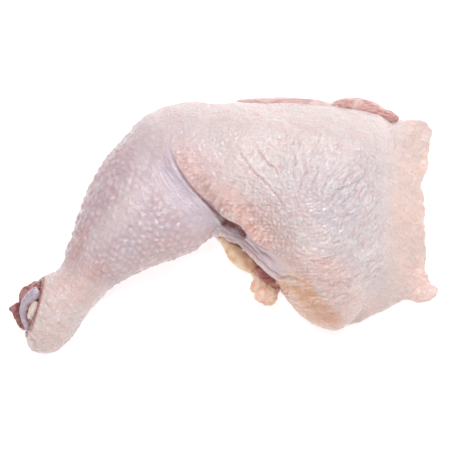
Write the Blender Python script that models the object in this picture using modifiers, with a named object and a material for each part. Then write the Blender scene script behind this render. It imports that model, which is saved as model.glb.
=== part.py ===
"""A raw chicken leg: drumstick and thigh under one skin, lying skin side up on a level surface.

The skin-covered leg is fused from soft masses (drumstick, knee, thigh, skirt, strap and flap).
Bare meat, fat and the cut hock are separate solids that sit in sockets in the leg.
X runs from hock to flap, Y from the inner bend to the cut top edge, Z up.
Plan sizes are in millimetres and are turned to metres where a mesh is made.
"""

import bisect
import math

import bmesh
import bpy
from mathutils import Matrix, Vector

MM = 0.001
COLLECTION = "raw_chicken_leg"

# Driving dimensions, in millimetres.
THIGH_HEIGHT = 47.0
SOCKET_GAP = 0.45
VOXEL = 1.25
EASING = 70

# Triangle budgets of the solids, kept under 10,000 in all.
LEG_TRIANGLES = 4300
MEAT_TRIANGLES = 900
TISSUE_TRIANGLES = 420
SMALL_TRIANGLES = 220

# Drumstick stations from the heel to the knee: x, y, half width, half height, height of the middle.
DRUMSTICK_STATIONS = (
    (-93.0, -51.6, 15.0, 12.2, 12.6),
    (-88.0, -46.2, 16.6, 13.6, 13.8),
    (-83.2, -41.0, 16.8, 14.2, 14.6),
    (-79.0, -37.2, 15.6, 13.6, 14.8),
    (-73.0, -32.2, 13.2, 12.0, 15.6),
    (-67.2, -26.4, 12.6, 12.4, 16.4),
    (-62.4, -18.6, 15.2, 14.6, 17.6),
    (-56.8, -12.0, 18.9, 17.0, 18.6),
    (-51.2, -5.2, 22.9, 19.4, 19.8),
    (-45.2, 1.4, 26.8, 21.2, 20.4),
    (-38.6, 7.6, 30.0, 22.0, 20.4),
    (-31.2, 14.0, 31.8, 21.6, 19.8),
    (-22.6, 22.4, 31.0, 20.0, 18.6),
    (-12.0, 32.0, 26.0, 16.0, 17.4),
)
HEEL_LOBES = (
    (-84.6, -51.0, 12.6, 10.8),
    (-89.0, -55.8, 9.2, 6.2),
)
# The oblique cut across the hock: a point on it, and the way that it faces.
HOCK_CUT_POINT = (-88.2, -40.5, 26.6)
HOCK_CUT_FACING = (-0.90, 0.23, 0.37)

# Broad round masses under the skin: middle and radii.
KNEE = ((-14.6, 31.4, 17.4), (36.4, 28.6, 24.2))
OVER_KNEE = ((6.0, 30.0, 18.0), (36.0, 29.6, 25.6))
INNER_THIGH = ((26.0, 14.0, 20.0), (28.0, 24.0, 24.6))
WEB = ((6.6, -3.0, 8.4), (13.0, 9.0, 7.6))

# The thigh's rolled lip, that lies over the drumstick along the crease.
LIP_STATIONS = (
    (-26.0, 45.0, 5.0, 9.0, 27.0),
    (-17.4, 36.6, 9.0, 13.0, 28.6),
    (-8.6, 25.4, 9.4, 14.0, 28.2),
    (1.2, 14.8, 9.2, 14.0, 27.8),
    (9.4, 6.8, 8.6, 13.6, 26.6),
    (16.6, -1.6, 7.8, 12.6, 25.2),
    (25.0, -8.6, 7.2, 11.6, 24.4),
    (35.0, -14.0, 6.4, 10.0, 24.0),
)

# Thigh outline about its middle: (degrees from +X, radius).
THIGH_MIDDLE = (36.7, 9.8)
THIGH_OUTLINE = (
    (0, 43.4), (20, 47.6), (32, 55.0), (41, 60.4), (50, 59.4), (60, 55.2), (75, 50.4), (90, 50.0),
    (105, 52.0), (120, 56.0), (135, 60.0), (147, 66.0), (156, 68.0), (164, 62.0), (172, 54.0),
    (181, 48.0), (193, 42.0), (212, 33.0), (232, 31.6), (248, 37.2), (260, 44.4), (271, 54.6),
    (283, 62.4), (294, 61.8), (308, 55.6), (325, 48.4), (342, 44.6),
)
THIGH_MID_HEIGHT = 9.0
THIGH_FULLNESS = 1.85

# A low skirt eases the thigh down to the flap.
SKIRT_MIDDLE = (48.0, 4.0)
SKIRT_OUTLINE = (
    (0, 50.0), (30, 55.0), (46, 65.0), (62, 48.0), (90, 40.0), (150, 36.0), (210, 32.0),
    (255, 38.0), (278, 52.0), (300, 56.0), (320, 56.0), (340, 52.0),
)
SKIRT_HEIGHT = 44.0
SKIRT_FULLNESS = 1.0

# The flap's ragged rim, from the thigh's top corner round to its lowest point.
FLAP_RIM = (
    (72.0, 51.6), (80.0, 52.0), (87.6, 52.0), (95.0, 51.8), (99.6, 49.8), (101.4, 45.0),
    (100.6, 39.4), (99.6, 34.4), (99.8, 28.6), (97.2, 23.0), (94.5, 18.6), (96.5, 14.4),
    (97.5, 9.6), (96.6, 6.2), (97.7, 0.0), (98.4, -11.8), (98.3, -21.4), (99.9, -27.0),
    (103.8, -30.0), (104.0, -33.4), (99.6, -37.2), (94.6, -37.8), (88.8, -36.2), (83.8, -38.2),
    (79.0, -40.7), (72.7, -42.8), (65.5, -47.0), (60.0, -48.8), (52.0, -47.0), (48.0, -20.0),
    (48.0, 20.0), (60.0, 46.0),
)
FLAP_BASE = 1.2
FLAP_THICKNESS = 2.8
FLAP_WAVE = 1.9
FLAP_START, FLAP_FREE = 80.0, 94.0

# The strap of skin that crosses the inner bend: x, y, half width, half height, middle height.
STRAP_STATIONS = (
    (-5.0, 0.6, 3.2, 4.0, 18.0),
    (1.7, -3.4, 3.0, 4.4, 19.0),
    (8.6, -6.9, 3.1, 5.0, 19.6),
    (13.4, -11.1, 3.5, 5.6, 20.2),
    (18.9, -15.9, 4.1, 6.2, 20.6),
    (24.4, -20.0, 4.8, 6.6, 20.8),
    (31.0, -23.6, 5.6, 6.6, 21.0),
    (40.0, -27.0, 6.0, 6.2, 21.0),
)

# Where the skin stays crisp: points in plan with a reach, between which the masses are eased less.
CRISP_SPOTS = (
    (-26.0, 35.0, 4.0), (-20.2, 26.0, 6.0), (-15.7, 19.4, 7.0), (-9.9, 12.9, 8.0), (-4.4, 7.8, 9.0),
    (2.0, 2.6, 10.0), (7.9, -2.8, 11.0), (14.0, -9.0, 11.0), (20.0, -15.0, 10.0), (27.0, -21.0, 9.0),
    (34.0, -27.0, 7.0), (-90.0, -32.0, 12.0), (-92.0, -42.0, 13.0), (-88.0, -53.0, 12.0),
    (58.0, -50.0, 7.0), (68.0, -46.0, 7.0), (78.0, -41.0, 7.0), (88.0, -37.0, 7.0), (78.0, 52.0, 6.0),
    (88.0, 52.0, 7.0),
)
CRISP_FLAP = 92.0

# Bare meat under the thigh. It runs past the skin along the cut top edge.
MEAT_MIDDLE = (36.0, 12.0)
MEAT_OUTLINE = (
    (0, 37.0), (25, 41.0), (45, 46.0), (60, 50.0), (72, 50.4), (90, 50.0), (105, 51.8),
    (115, 54.8), (123, 57.0), (131, 50.0), (145, 42.0), (170, 36.0), (195, 32.0), (220, 28.0),
    (245, 32.0), (265, 42.0), (285, 47.0), (305, 44.0), (330, 38.0),
)
MEAT_MID_HEIGHT = 6.0
MEAT_TOP = 18.0
MEAT_FULLNESS = 2.8

# The lobe of muscle at the hip: x, y, half width, half height, middle height.
HIP_LOBE_STATIONS = (
    (50.5, 55.0, 2.6, 3.0, 9.5),
    (56.0, 56.6, 4.4, 4.4, 10.0),
    (62.0, 57.2, 4.6, 5.0, 10.4),
    (68.6, 56.4, 4.4, 4.8, 10.4),
    (76.0, 53.6, 3.8, 4.0, 10.0),
    (84.0, 50.6, 2.2, 2.4, 9.0),
)

# Fat and meat at the inner bend, below the strap.
FAT_FLAP_STATIONS = (
    (0.2, -6.6, 2.0, 2.2, 13.0),
    (3.2, -10.6, 3.3, 3.0, 12.4),
    (6.2, -14.4, 4.0, 3.4, 11.6),
    (9.8, -17.4, 4.1, 3.2, 10.8),
    (13.2, -19.6, 3.4, 2.6, 10.2),
)
NODULE_LOBES = (
    (16.8, -23.6, 10.4, 3.4),
    (18.6, -27.4, 9.6, 4.0),
    (16.2, -29.6, 8.8, 3.6),
    (18.8, -33.6, 8.0, 4.2),
    (21.8, -34.6, 7.6, 4.4),
    (23.2, -31.4, 8.6, 4.0),
)
BEND_MEAT_STATIONS = (
    (15.6, -20.2, 2.6, 3.0, 14.0),
    (20.6, -23.2, 3.7, 4.0, 14.0),
    (25.6, -26.4, 3.4, 3.8, 13.6),
    (29.6, -29.4, 2.4, 3.0, 13.0),
)

# The cut hock: tissue in the end, a bluish cartilage ridge on it and a white tendon.
TISSUE_LOBES = (
    (-88.2, -35.2, 15.4, 8.6),
    (-89.2, -41.4, 14.6, 8.4),
    (-89.4, -47.0, 12.8, 6.4),
    (-92.4, -34.8, 14.0, 6.3),
    (-93.4, -40.6, 13.0, 5.8),
    (-93.6, -45.2, 12.4, 4.4),
)
SHRED_STATIONS = (
    (-94.6, -37.2, 3.0, 2.8, 15.0),
    (-98.4, -38.4, 2.8, 2.2, 14.2),
    (-101.4, -39.2, 1.8, 1.5, 13.4),
    (-103.9, -39.9, 0.8, 0.8, 13.0),
)
RIDGE_STATIONS = (
    (-87.8, -30.4, 1.7, 1.7, 22.6),
    (-90.2, -32.2, 2.4, 2.1, 22.2),
    (-92.9, -34.6, 2.4, 2.2, 21.2),
    (-95.3, -37.6, 1.9, 2.0, 19.6),
    (-96.4, -41.0, 1.7, 1.9, 18.0),
    (-95.4, -45.0, 1.8, 1.9, 16.8),
    (-93.2, -48.8, 1.9, 1.8, 15.8),
)
TENDON_STATIONS = (
    (-89.6, -36.4, 1.3, 1.3, 23.0),
    (-90.8, -38.8, 2.0, 1.9, 22.8),
    (-92.0, -41.4, 2.1, 1.9, 22.0),
    (-92.8, -44.0, 1.5, 1.5, 20.6),
)

FINISHES = {
    "skin": ("#E8D3CF", 0.38),
    "meat": ("#C98480", 0.42),
    "fat": ("#EBC9AA", 0.40),
    "cartilage": ("#B9AEBB", 0.28),
    "tendon": ("#E9DDD4", 0.34),
    "hock_tissue": ("#8F4A48", 0.40),
}


def clear_scene():
    """Removes what the startup file holds."""
    for item in list(bpy.data.objects):
        bpy.data.objects.remove(item)


def linear(hex_colour):
    """An sRGB hex colour as linear RGBA."""
    channels = [int(hex_colour[i:i + 2], 16) / 255 for i in (1, 3, 5)]
    return [c / 12.92 if c <= 0.04045 else ((c + 0.055) / 1.055) ** 2.4 for c in channels] + [1.0]


def finish_named(name):
    """A Principled material from the table of finishes."""
    colour, roughness = FINISHES[name]
    material = bpy.data.materials.new(name)
    material.use_nodes = True
    shader = material.node_tree.nodes["Principled BSDF"]
    shader.inputs["Base Color"].default_value = linear(colour)
    shader.inputs["Roughness"].default_value = roughness
    shader.inputs["Metallic"].default_value = 0.0
    return material


def eased(before, here, after, beyond, t):
    """A value part of the way from here to after, on a smooth curve through its neighbours."""
    leave, reach = (after - before) / 2, (beyond - here) / 2
    return (
        (2 * t**3 - 3 * t**2 + 1) * here
        + (t**3 - 2 * t**2 + t) * leave
        + (3 * t**2 - 2 * t**3) * after
        + (t**3 - t**2) * reach
    )


def radius_at(outline, degrees):
    """The outline's radius at an angle, eased smoothly between its stated radii."""
    angles = [angle for angle, _ in outline]
    count = len(outline)
    degrees %= 360
    i = (bisect.bisect_right(angles, degrees) - 1) % count
    before, here, after, beyond = (outline[(i + k) % count] for k in (-1, 0, 1, 2))
    t = ((degrees - here[0]) % 360) / ((after[0] - here[0]) % 360)
    return eased(before[1], here[1], after[1], beyond[1], t)


def eased_stations(stations, steps=4):
    """The stations with more put between them, on smooth curves through all their values."""
    last = len(stations) - 1
    path = []
    for i in range(last):
        rows = [stations[min(max(k, 0), last)] for k in (i - 1, i, i + 1, i + 2)]
        for step in range(steps):
            path.append([eased(*values, step / steps) for values in zip(*rows)])
    path.append(list(stations[last]))
    return path


def new_object(name, cage):
    """An object that holds the bmesh, turned from millimetres to metres."""
    bmesh.ops.scale(cage, vec=(MM, MM, MM), verts=cage.verts)
    bmesh.ops.recalc_face_normals(cage, faces=cage.faces)
    mesh = bpy.data.meshes.new(name)
    cage.to_mesh(mesh)
    cage.free()
    made = bpy.data.objects.new(name, mesh)
    bpy.context.scene.collection.objects.link(made)
    return made


def add_loft(cage, stations, sides=24):
    """Adds a closed tube of elliptical sections, each square to the smooth line through the stations."""
    path = eased_stations(stations)
    middles = [Vector((x, y, z)) for x, y, _, _, z in path]
    for i, (_, _, half_width, half_height, _) in enumerate(path):
        ahead = middles[min(i + 1, len(middles) - 1)] - middles[max(i - 1, 0)]
        place = (
            Matrix.Translation(middles[i])
            @ Matrix.Rotation(-math.atan2(ahead.x, ahead.y), 4, "Z")
            @ Matrix.Diagonal((half_width, 1, half_height, 1))
            @ Matrix.Rotation(math.radians(90), 4, "X")
        )
        if i == 0:
            ring = bmesh.ops.create_circle(cage, segments=sides, radius=1)["verts"]
            edges = list({e for v in ring for e in v.link_edges})
            bmesh.ops.contextual_create(cage, geom=edges)
        else:
            made = bmesh.ops.extrude_edge_only(cage, edges=edges)["geom"]
            ring = [g for g in made if isinstance(g, bmesh.types.BMVert)]
            edges = [g for g in made if isinstance(g, bmesh.types.BMEdge)]
            bmesh.ops.transform(cage, matrix=back, verts=ring)
        bmesh.ops.transform(cage, matrix=place, verts=ring)
        back = place.inverted()
    bmesh.ops.contextual_create(cage, geom=edges)


def add_cushion(cage, middle, outline, mid_height, top, bottom, fullness):
    """Adds a closed cushion with a stated plan outline. A fullness of 2 is round, and more is boxier."""
    ball = bmesh.ops.create_uvsphere(cage, u_segments=96, v_segments=40, radius=1)["verts"]
    for vert in ball:
        reach = min(1.0, math.hypot(vert.co.x, vert.co.y))
        degrees = math.degrees(math.atan2(vert.co.y, vert.co.x))
        plan = radius_at(outline, degrees) * reach ** (2 / fullness)
        rise = abs(vert.co.z) ** (2 / fullness)
        height = rise * (top - mid_height) if vert.co.z > 0 else rise * (bottom - mid_height)
        vert.co = (
            middle[0] + plan * math.cos(math.radians(degrees)),
            middle[1] + plan * math.sin(math.radians(degrees)),
            mid_height + height,
        )


def add_ball(cage, middle, radii):
    """Adds an ellipsoid."""
    ball = bmesh.ops.create_uvsphere(cage, u_segments=32, v_segments=16, radius=1)["verts"]
    bmesh.ops.scale(cage, vec=radii, verts=ball)
    bmesh.ops.translate(cage, vec=middle, verts=ball)


def add_sheet(cage, rim, base, thickness):
    """Adds a flat plate with a stated rim."""
    ring = bmesh.ops.create_circle(cage, segments=len(rim), radius=1)["verts"]
    for vert, (x, y) in zip(ring, rim):
        vert.co = (x, y, base)
    edges = list({e for v in ring for e in v.link_edges})
    face = bmesh.ops.contextual_create(cage, geom=edges)["faces"]
    made = bmesh.ops.extrude_face_region(cage, geom=face, use_keep_orig=True)["geom"]
    top = [g for g in made if isinstance(g, bmesh.types.BMVert)]
    bmesh.ops.translate(cage, vec=(0, 0, thickness), verts=top)


def ease(low, high, value):
    """0 below low, 1 above high, and a smooth rise between."""
    t = min(1.0, max(0.0, (value - low) / (high - low)))
    return t * t * (3 - 2 * t)


def flap_lift(x, y):
    """How far the flap rises off the level at a point, in millimetres."""
    wave = math.sin(y / 9.5 + 0.6) + 0.6 * math.sin(y / 4.7 + x / 11.0)
    return ease(FLAP_START, FLAP_FREE, x) * FLAP_WAVE * max(-0.4, wave)


def evaluated(item):
    """The mesh of an object with its modifiers applied."""
    graph = bpy.context.evaluated_depsgraph_get()
    graph.update()
    return bpy.data.meshes.new_from_object(item.evaluated_get(graph))


def softened(item, iterations, weight=None):
    """Eases an object's mesh, by more where the weight of a place in plan is higher."""
    soften = item.modifiers.new("soften", "SMOOTH")
    soften.factor = 0.5
    soften.iterations = iterations
    if weight:
        group = item.vertex_groups.new(name="eased")
        for vert in item.data.vertices:
            group.add([vert.index], weight(vert.co.x / MM, vert.co.y / MM), "REPLACE")
        soften.vertex_group = group.name
    item.data = evaluated(item)
    item.modifiers.clear()
    item.vertex_groups.clear()


def fused(name, cage, voxel=VOXEL, smoothing=6):
    """Joins the overlapping masses of a bmesh into one smooth skin of small even quads."""
    made = new_object(name, cage)
    remesh = made.modifiers.new("fuse", "REMESH")
    remesh.mode = "VOXEL"
    remesh.voxel_size = voxel * MM
    made.data = evaluated(made)
    made.modifiers.clear()
    softened(made, smoothing)
    return made


def thinned(item, triangles):
    """Lowers an object's mesh to about a number of triangles."""
    thin = item.modifiers.new("thin", "DECIMATE")
    thin.ratio = triangles / (2 * len(item.data.polygons))
    item.data = evaluated(item)
    item.modifiers.clear()
    return item


def swollen(item, gap):
    """A hidden copy of an object, grown by a gap in millimetres, for cutting its socket."""
    grown = bpy.data.objects.new("socket_of_" + item.name, item.data.copy())
    cutters.objects.link(grown)
    for vert in grown.data.vertices:
        vert.co += vert.normal * gap * MM
    grown.hide_render = True
    grown.display_type = "WIRE"
    return grown


def cut(item, cutter):
    """Takes a cutter out of an object."""
    away = item.modifiers.new("less_" + cutter.name, "BOOLEAN")
    away.operation = "DIFFERENCE"
    away.object = cutter


def sliced(item, point, facing):
    """Cuts off what lies past a plane, and closes the cut flat."""
    cage = bmesh.new()
    cage.from_mesh(item.data)
    geometry = cage.verts[:] + cage.edges[:] + cage.faces[:]
    place = Vector(point) * MM
    parted = bmesh.ops.bisect_plane(
        cage, geom=geometry, plane_co=place, plane_no=facing, clear_outer=True
    )
    rim = [g for g in parted["geom_cut"] if isinstance(g, bmesh.types.BMEdge)]
    bmesh.ops.triangle_fill(cage, use_beauty=True, edges=rim)
    bmesh.ops.recalc_face_normals(cage, faces=cage.faces)
    cage.to_mesh(item.data)
    cage.free()
    return item


def level(item):
    """Cuts the object flat where it meets the surface that it lies on."""
    return sliced(item, (0, 0, 0), (0, 0, -1))


def easing_weight(x, y):
    """How far the masses are eased into each other at a place in plan, from 0 to 1."""
    crisp = ease(CRISP_FLAP - 8, CRISP_FLAP, x)
    for spot_x, spot_y, reach in CRISP_SPOTS:
        crisp = max(crisp, 1 - ease(0.5 * reach, 1.3 * reach, math.hypot(x - spot_x, y - spot_y)))
    return 1 - crisp


def leg():
    """The drumstick and thigh under their skin, with the strap and the loose flap."""
    cage = bmesh.new()
    add_loft(cage, DRUMSTICK_STATIONS, sides=48)
    for x, y, z, radius in HEEL_LOBES:
        add_ball(cage, (x, y, z), (radius, radius, radius))
    for middle, radii in (KNEE, OVER_KNEE, INNER_THIGH, WEB):
        add_ball(cage, middle, radii)
    add_loft(cage, LIP_STATIONS)
    add_cushion(
        cage, THIGH_MIDDLE, THIGH_OUTLINE, THIGH_MID_HEIGHT, THIGH_HEIGHT, -2.0, THIGH_FULLNESS
    )
    add_cushion(cage, SKIRT_MIDDLE, SKIRT_OUTLINE, 3.0, SKIRT_HEIGHT, 0.6, SKIRT_FULLNESS)
    add_loft(cage, STRAP_STATIONS)
    add_sheet(cage, FLAP_RIM, FLAP_BASE, FLAP_THICKNESS)
    made = fused("leg", cage)
    softened(made, EASING, easing_weight)
    for vert in made.data.vertices:
        vert.co.z += flap_lift(vert.co.x / MM, vert.co.y / MM) * MM
    return level(thinned(sliced(made, HOCK_CUT_POINT, HOCK_CUT_FACING), LEG_TRIANGLES))


def thigh_meat():
    """The bare muscle on the thigh's inner side."""
    cage = bmesh.new()
    add_cushion(cage, MEAT_MIDDLE, MEAT_OUTLINE, MEAT_MID_HEIGHT, MEAT_TOP, -3.0, MEAT_FULLNESS)
    return level(thinned(fused("thigh_meat", cage, voxel=1.6), MEAT_TRIANGLES))


def lofted(name, *station_lists, triangles=SMALL_TRIANGLES):
    """A small soft piece made of one or more lofts."""
    cage = bmesh.new()
    for stations in station_lists:
        add_loft(cage, stations)
    return thinned(fused(name, cage, voxel=0.6, smoothing=4), triangles)


def lobed(name, lobes, *station_lists, triangles=SMALL_TRIANGLES):
    """A small lumpy piece: round lobes of x, y, z and radius, and any lofts that join them."""
    cage = bmesh.new()
    for x, y, z, radius in lobes:
        add_ball(cage, (x, y, z), (radius, radius, radius * 0.9))
    for stations in station_lists:
        add_loft(cage, stations)
    return thinned(fused(name, cage, voxel=0.6, smoothing=4), triangles)


def fit_together(host, guests):
    """Cuts each guest's socket in the host, and in the guests that were made after it."""
    for i, guest in enumerate(guests):
        socket = swollen(guest, SOCKET_GAP)
        cut(host, socket)
        for later in guests[i + 1:]:
            cut(later, socket)


def main_body(item):
    """Applies an object's cuts and drops the scraps that they leave loose."""
    item.data = evaluated(item)
    item.modifiers.clear()
    whole = bmesh.new()
    whole.from_mesh(item.data)
    left, bodies = set(whole.verts), []
    while left:
        body, edge_of_body = set(), [left.pop()]
        while edge_of_body:
            vert = edge_of_body.pop()
            body.add(vert)
            near = {e.other_vert(vert) for e in vert.link_edges} & left
            left -= near
            edge_of_body.extend(near)
        bodies.append(body)
    bodies.sort(key=len)
    for body in bodies[:-1]:
        bmesh.ops.delete(whole, geom=list(body), context="VERTS")
    whole.to_mesh(item.data)
    whole.free()


def collection_named(name):
    """A new collection in the scene."""
    made = bpy.data.collections.new(name)
    bpy.context.scene.collection.children.link(made)
    return made


clear_scene()
cutters = collection_named("cutters")
cutters.hide_render = True

skin = leg()
pieces = {
    "hock_ridge": (lofted("hock_ridge", RIDGE_STATIONS), "cartilage"),
    "hock_tendon": (lofted("hock_tendon", TENDON_STATIONS), "tendon"),
    "hock_tissue": (
        lobed("hock_tissue", TISSUE_LOBES, SHRED_STATIONS, triangles=TISSUE_TRIANGLES), "hock_tissue"
    ),
    "hip_lobe": (lofted("hip_lobe", HIP_LOBE_STATIONS), "meat"),
    "thigh_meat": (thigh_meat(), "meat"),
    "fat_flap": (lofted("fat_flap", FAT_FLAP_STATIONS), "fat"),
    "fat_nodule": (lobed("fat_nodule", NODULE_LOBES), "fat"),
    "bend_meat": (lofted("bend_meat", BEND_MEAT_STATIONS), "meat"),
}
fit_together(skin, [piece for piece, _ in pieces.values()])
pieces["leg"] = (skin, "skin")

for piece in (skin, *(piece for piece, _ in pieces.values())):
    main_body(piece)

parts = collection_named(COLLECTION)
materials = {name: finish_named(name) for name in FINISHES}
for part, finish in pieces.values():
    parts.objects.link(part)
    bpy.context.scene.collection.objects.unlink(part)
    part.data.materials.clear()
    part.data.materials.append(materials[finish])
    part.data.shade_smooth()
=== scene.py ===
"""Looks of a raw chicken leg that lies skin side up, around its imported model.

Each sub-assembly is a class that builds its meshes and dresses them. Plan sizes and heights are in
millimetres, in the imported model's frame, and are turned to metres when a mesh is made.
"""

import bisect
import logging
import math
from dataclasses import dataclass
from enum import Enum

import bmesh
import bpy
import numpy as np
from mathutils import Matrix, Vector


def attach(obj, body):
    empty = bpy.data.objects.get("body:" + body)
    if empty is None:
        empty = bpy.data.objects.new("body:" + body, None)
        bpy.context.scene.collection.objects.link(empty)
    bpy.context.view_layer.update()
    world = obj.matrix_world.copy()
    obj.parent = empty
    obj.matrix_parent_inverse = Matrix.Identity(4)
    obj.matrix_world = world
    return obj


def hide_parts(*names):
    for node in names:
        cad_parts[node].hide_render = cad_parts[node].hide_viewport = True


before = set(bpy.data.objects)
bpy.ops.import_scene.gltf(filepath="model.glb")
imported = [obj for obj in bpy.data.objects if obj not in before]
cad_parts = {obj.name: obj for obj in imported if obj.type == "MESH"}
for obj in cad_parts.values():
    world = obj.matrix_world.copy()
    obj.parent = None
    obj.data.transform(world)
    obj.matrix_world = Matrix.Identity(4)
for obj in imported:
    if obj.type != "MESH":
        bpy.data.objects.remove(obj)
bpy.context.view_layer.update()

log = logging.getLogger("raw_chicken_leg")

MM = 0.001
BODY = "root"

# The whole-number hash behind the noise: its two odd factors, its word size and its offset.
SPREADER, MIXER, WORD, CELL_OFFSET = 2246822519, 2654435761, 2**32, 32768

Stations = tuple[tuple[float, ...], ...]
Place = tuple[float, float, float]
Measured = tuple[np.ndarray, np.ndarray, np.ndarray]


class Slot(Enum):
    """The material slots of the pieces."""

    SKIN = "skin"
    MEAT = "meat"
    FAT = "fat"
    CARTILAGE = "cartilage"
    TENDON = "tendon"
    HOCK_TISSUE = "hock_tissue"


# ---------------------------------------------------------------- colour and small sums


def linear(hex_colour: str) -> tuple[float, float, float, float]:
    """Turns an sRGB hex colour to linear RGBA.

    Args:
        hex_colour: the colour, such as "#E8D3CF".

    Returns:
        Red, green, blue and an alpha of 1.
    """
    channels = [int(hex_colour[i:i + 2], 16) / 255 for i in (1, 3, 5)]
    red, green, blue = (c / 12.92 if c <= 0.04045 else ((c + 0.055) / 1.055) ** 2.4 for c in channels)
    return red, green, blue, 1.0


def ease(low: float, high: float, value: np.ndarray | float) -> np.ndarray | float:
    """Rises smoothly from 0 at low to 1 at high, or falls where high is below low."""
    t = np.clip((value - low) / (high - low), 0.0, 1.0)
    return t * t * (3 - 2 * t)


def hump(value: np.ndarray, width: float) -> np.ndarray:
    """A bell-shaped hump: 1 where the value is 0, and about a third at the stated width."""
    return np.exp(-((value / width) ** 2))


def eased(before: float, here: float, after: float, beyond: float, t: float) -> float:
    """A value part of the way from here to after, on a smooth curve through its neighbours.

    Args:
        before: the value before here.
        here: the value at the start of the stretch.
        after: the value at its end.
        beyond: the value past its end.
        t: how far along the stretch, from 0 to 1.

    Returns:
        The value there.
    """
    leave, reach = (after - before) / 2, (beyond - here) / 2
    return (
        (2 * t**3 - 3 * t**2 + 1) * here
        + (t**3 - 2 * t**2 + t) * leave
        + (3 * t**2 - 2 * t**3) * after
        + (t**3 - t**2) * reach
    )


def radius_at(outline: Stations, degrees: float) -> float:
    """Reads an outline's radius at an angle.

    Args:
        outline: (degrees from +X, radius) rows, in order of angle.
        degrees: the angle.

    Returns:
        The radius, eased smoothly between the stated ones.
    """
    count = len(outline)
    degrees %= 360
    i = (bisect.bisect_right([angle for angle, _ in outline], degrees) - 1) % count
    before, here, after, beyond = (outline[(i + k) % count] for k in (-1, 0, 1, 2))
    t = ((degrees - here[0]) % 360) / ((after[0] - here[0]) % 360)
    return eased(before[1], here[1], after[1], beyond[1], t)


def eased_stations(stations: Stations, steps: int = 4) -> list[list[float]]:
    """Puts more stations between the stated ones, on smooth curves through all their values.

    Args:
        stations: rows of numbers.
        steps: how many rows each stretch becomes.

    Returns:
        The finer rows.
    """
    last = len(stations) - 1
    path = []
    for i in range(last):
        rows = [stations[min(max(k, 0), last)] for k in (i - 1, i, i + 1, i + 2)]
        path.extend([eased(*values, step / steps) for values in zip(*rows)] for step in range(steps))
    path.append(list(stations[last]))
    return path


class Stroke:
    """A smooth line in plan, that places can be measured from."""

    def __init__(self, stations: Stations, steps: int = 6) -> None:
        """Lays the line through the stations.

        Args:
            stations: rows that start with x and y; what follows is eased along the line too.
            steps: how many pieces each stretch is cut in.
        """
        self.rows = np.array(eased_stations(stations, steps))
        start, end = self.rows[:-1, :2], self.rows[1:, :2]
        self.start, self.leg = start, end - start
        self.length = np.linalg.norm(self.leg, axis=1)
        self.so_far = np.concatenate([[0.0], np.cumsum(self.length)])

    def measure(self, x: np.ndarray, y: np.ndarray) -> Measured:
        """Measures places against the line.

        Args:
            x: their x.
            y: their y.

        Returns:
            Each place's distance from the line, positive on its right; how far along the line it is
            in millimetres; and the row of values there.
        """
        best = np.full(x.shape, np.inf)
        side, along = np.zeros_like(x), np.zeros_like(x)
        values = np.zeros((len(x), self.rows.shape[1]))
        for i, (start, leg, length) in enumerate(zip(self.start, self.leg, self.length)):
            dx, dy = x - start[0], y - start[1]
            t = np.clip((dx * leg[0] + dy * leg[1]) / length**2, 0, 1)
            off_x, off_y = dx - t * leg[0], dy - t * leg[1]
            away = np.hypot(off_x, off_y)
            nearer = away < best
            best = np.where(nearer, away, best)
            right = np.sign(dx * leg[1] - dy * leg[0])
            side = np.where(nearer, right * away, side)
            along = np.where(nearer, self.so_far[i] + t * length, along)
            row = self.rows[i] + t[:, None] * (self.rows[i + 1] - self.rows[i])
            values = np.where(nearer[:, None], row, values)
        return side, along, values


class Grain:
    """Noise that gives the same values on each run."""

    @staticmethod
    def chance(cells: np.ndarray, seed: int) -> np.ndarray:
        """Draws one number for each cell.

        Args:
            cells: rows of whole numbers.
            seed: which draw.

        Returns:
            Numbers from 0 to 1.
        """
        mixed = np.full(cells.shape[:-1], seed * MIXER % WORD, dtype=np.uint64)
        for k in range(cells.shape[-1]):
            whole = (cells[..., k].astype(np.int64) + CELL_OFFSET).astype(np.uint64)
            mixed ^= whole * np.uint64(SPREADER + 2 * k)
            mixed = (mixed ^ (mixed >> np.uint64(15))) * np.uint64(MIXER) & np.uint64(WORD - 1)
            mixed ^= mixed >> np.uint64(13)
        return mixed.astype(np.float64) / float(WORD - 1)

    @staticmethod
    def soft(points: np.ndarray, wavelength: float | tuple[float, ...], seed: int) -> np.ndarray:
        """Reads smooth noise.

        Args:
            points: rows of coordinates.
            wavelength: the size of its waves, in the coordinates' unit, or one size for each.
            seed: which noise.

        Returns:
            Values from -1 to 1.
        """
        scaled = points / np.asarray(wavelength) * 2.0
        low = np.floor(scaled)
        t = scaled - low
        t = t * t * (3 - 2 * t)
        total = np.zeros(len(points))
        width = points.shape[1]
        for corner in range(2**width):
            bits = np.array([(corner >> k) & 1 for k in range(width)])
            share = np.prod(np.where(bits, t, 1 - t), axis=1)
            total += share * Grain.chance(low + bits, seed)
        return 2 * total - 1

    @staticmethod
    def domes(points: np.ndarray, spacing: tuple[float, ...], jitter: float, seed: int) -> Measured:
        """Measures points against the nearest of a jittered, staggered set of spots.

        Args:
            points: rows of coordinates.
            spacing: the spots' spacing along each coordinate.
            jitter: how far a spot may stray, as a share of the spacing.
            seed: which set.

        Returns:
            The distances to the nearest spot and to the next, and a number from 0 to 1 for the spot.
        """
        spacing = np.asarray(spacing)
        width = points.shape[1]
        home = np.floor(points / spacing)
        near = np.full(len(points), np.inf)
        after = near.copy()
        which = np.zeros(len(points))
        for shift in np.ndindex(*([3] * width)):
            cell = home + np.array(shift) - 1
            spot = cell + 0.5
            for k in range(width):
                spot[:, k] += (Grain.chance(cell, seed + k) - 0.5) * 2 * jitter
            spot[:, -1] += 0.5 * (cell[:, 0] % 2)
            away = np.linalg.norm(points - spot * spacing, axis=1)
            own = Grain.chance(cell, seed + 7)
            after = np.where(away < near, near, np.minimum(after, away))
            which = np.where(away < near, own, which)
            near = np.minimum(near, away)
        return near, after, which


# ---------------------------------------------------------------- making meshes


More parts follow.
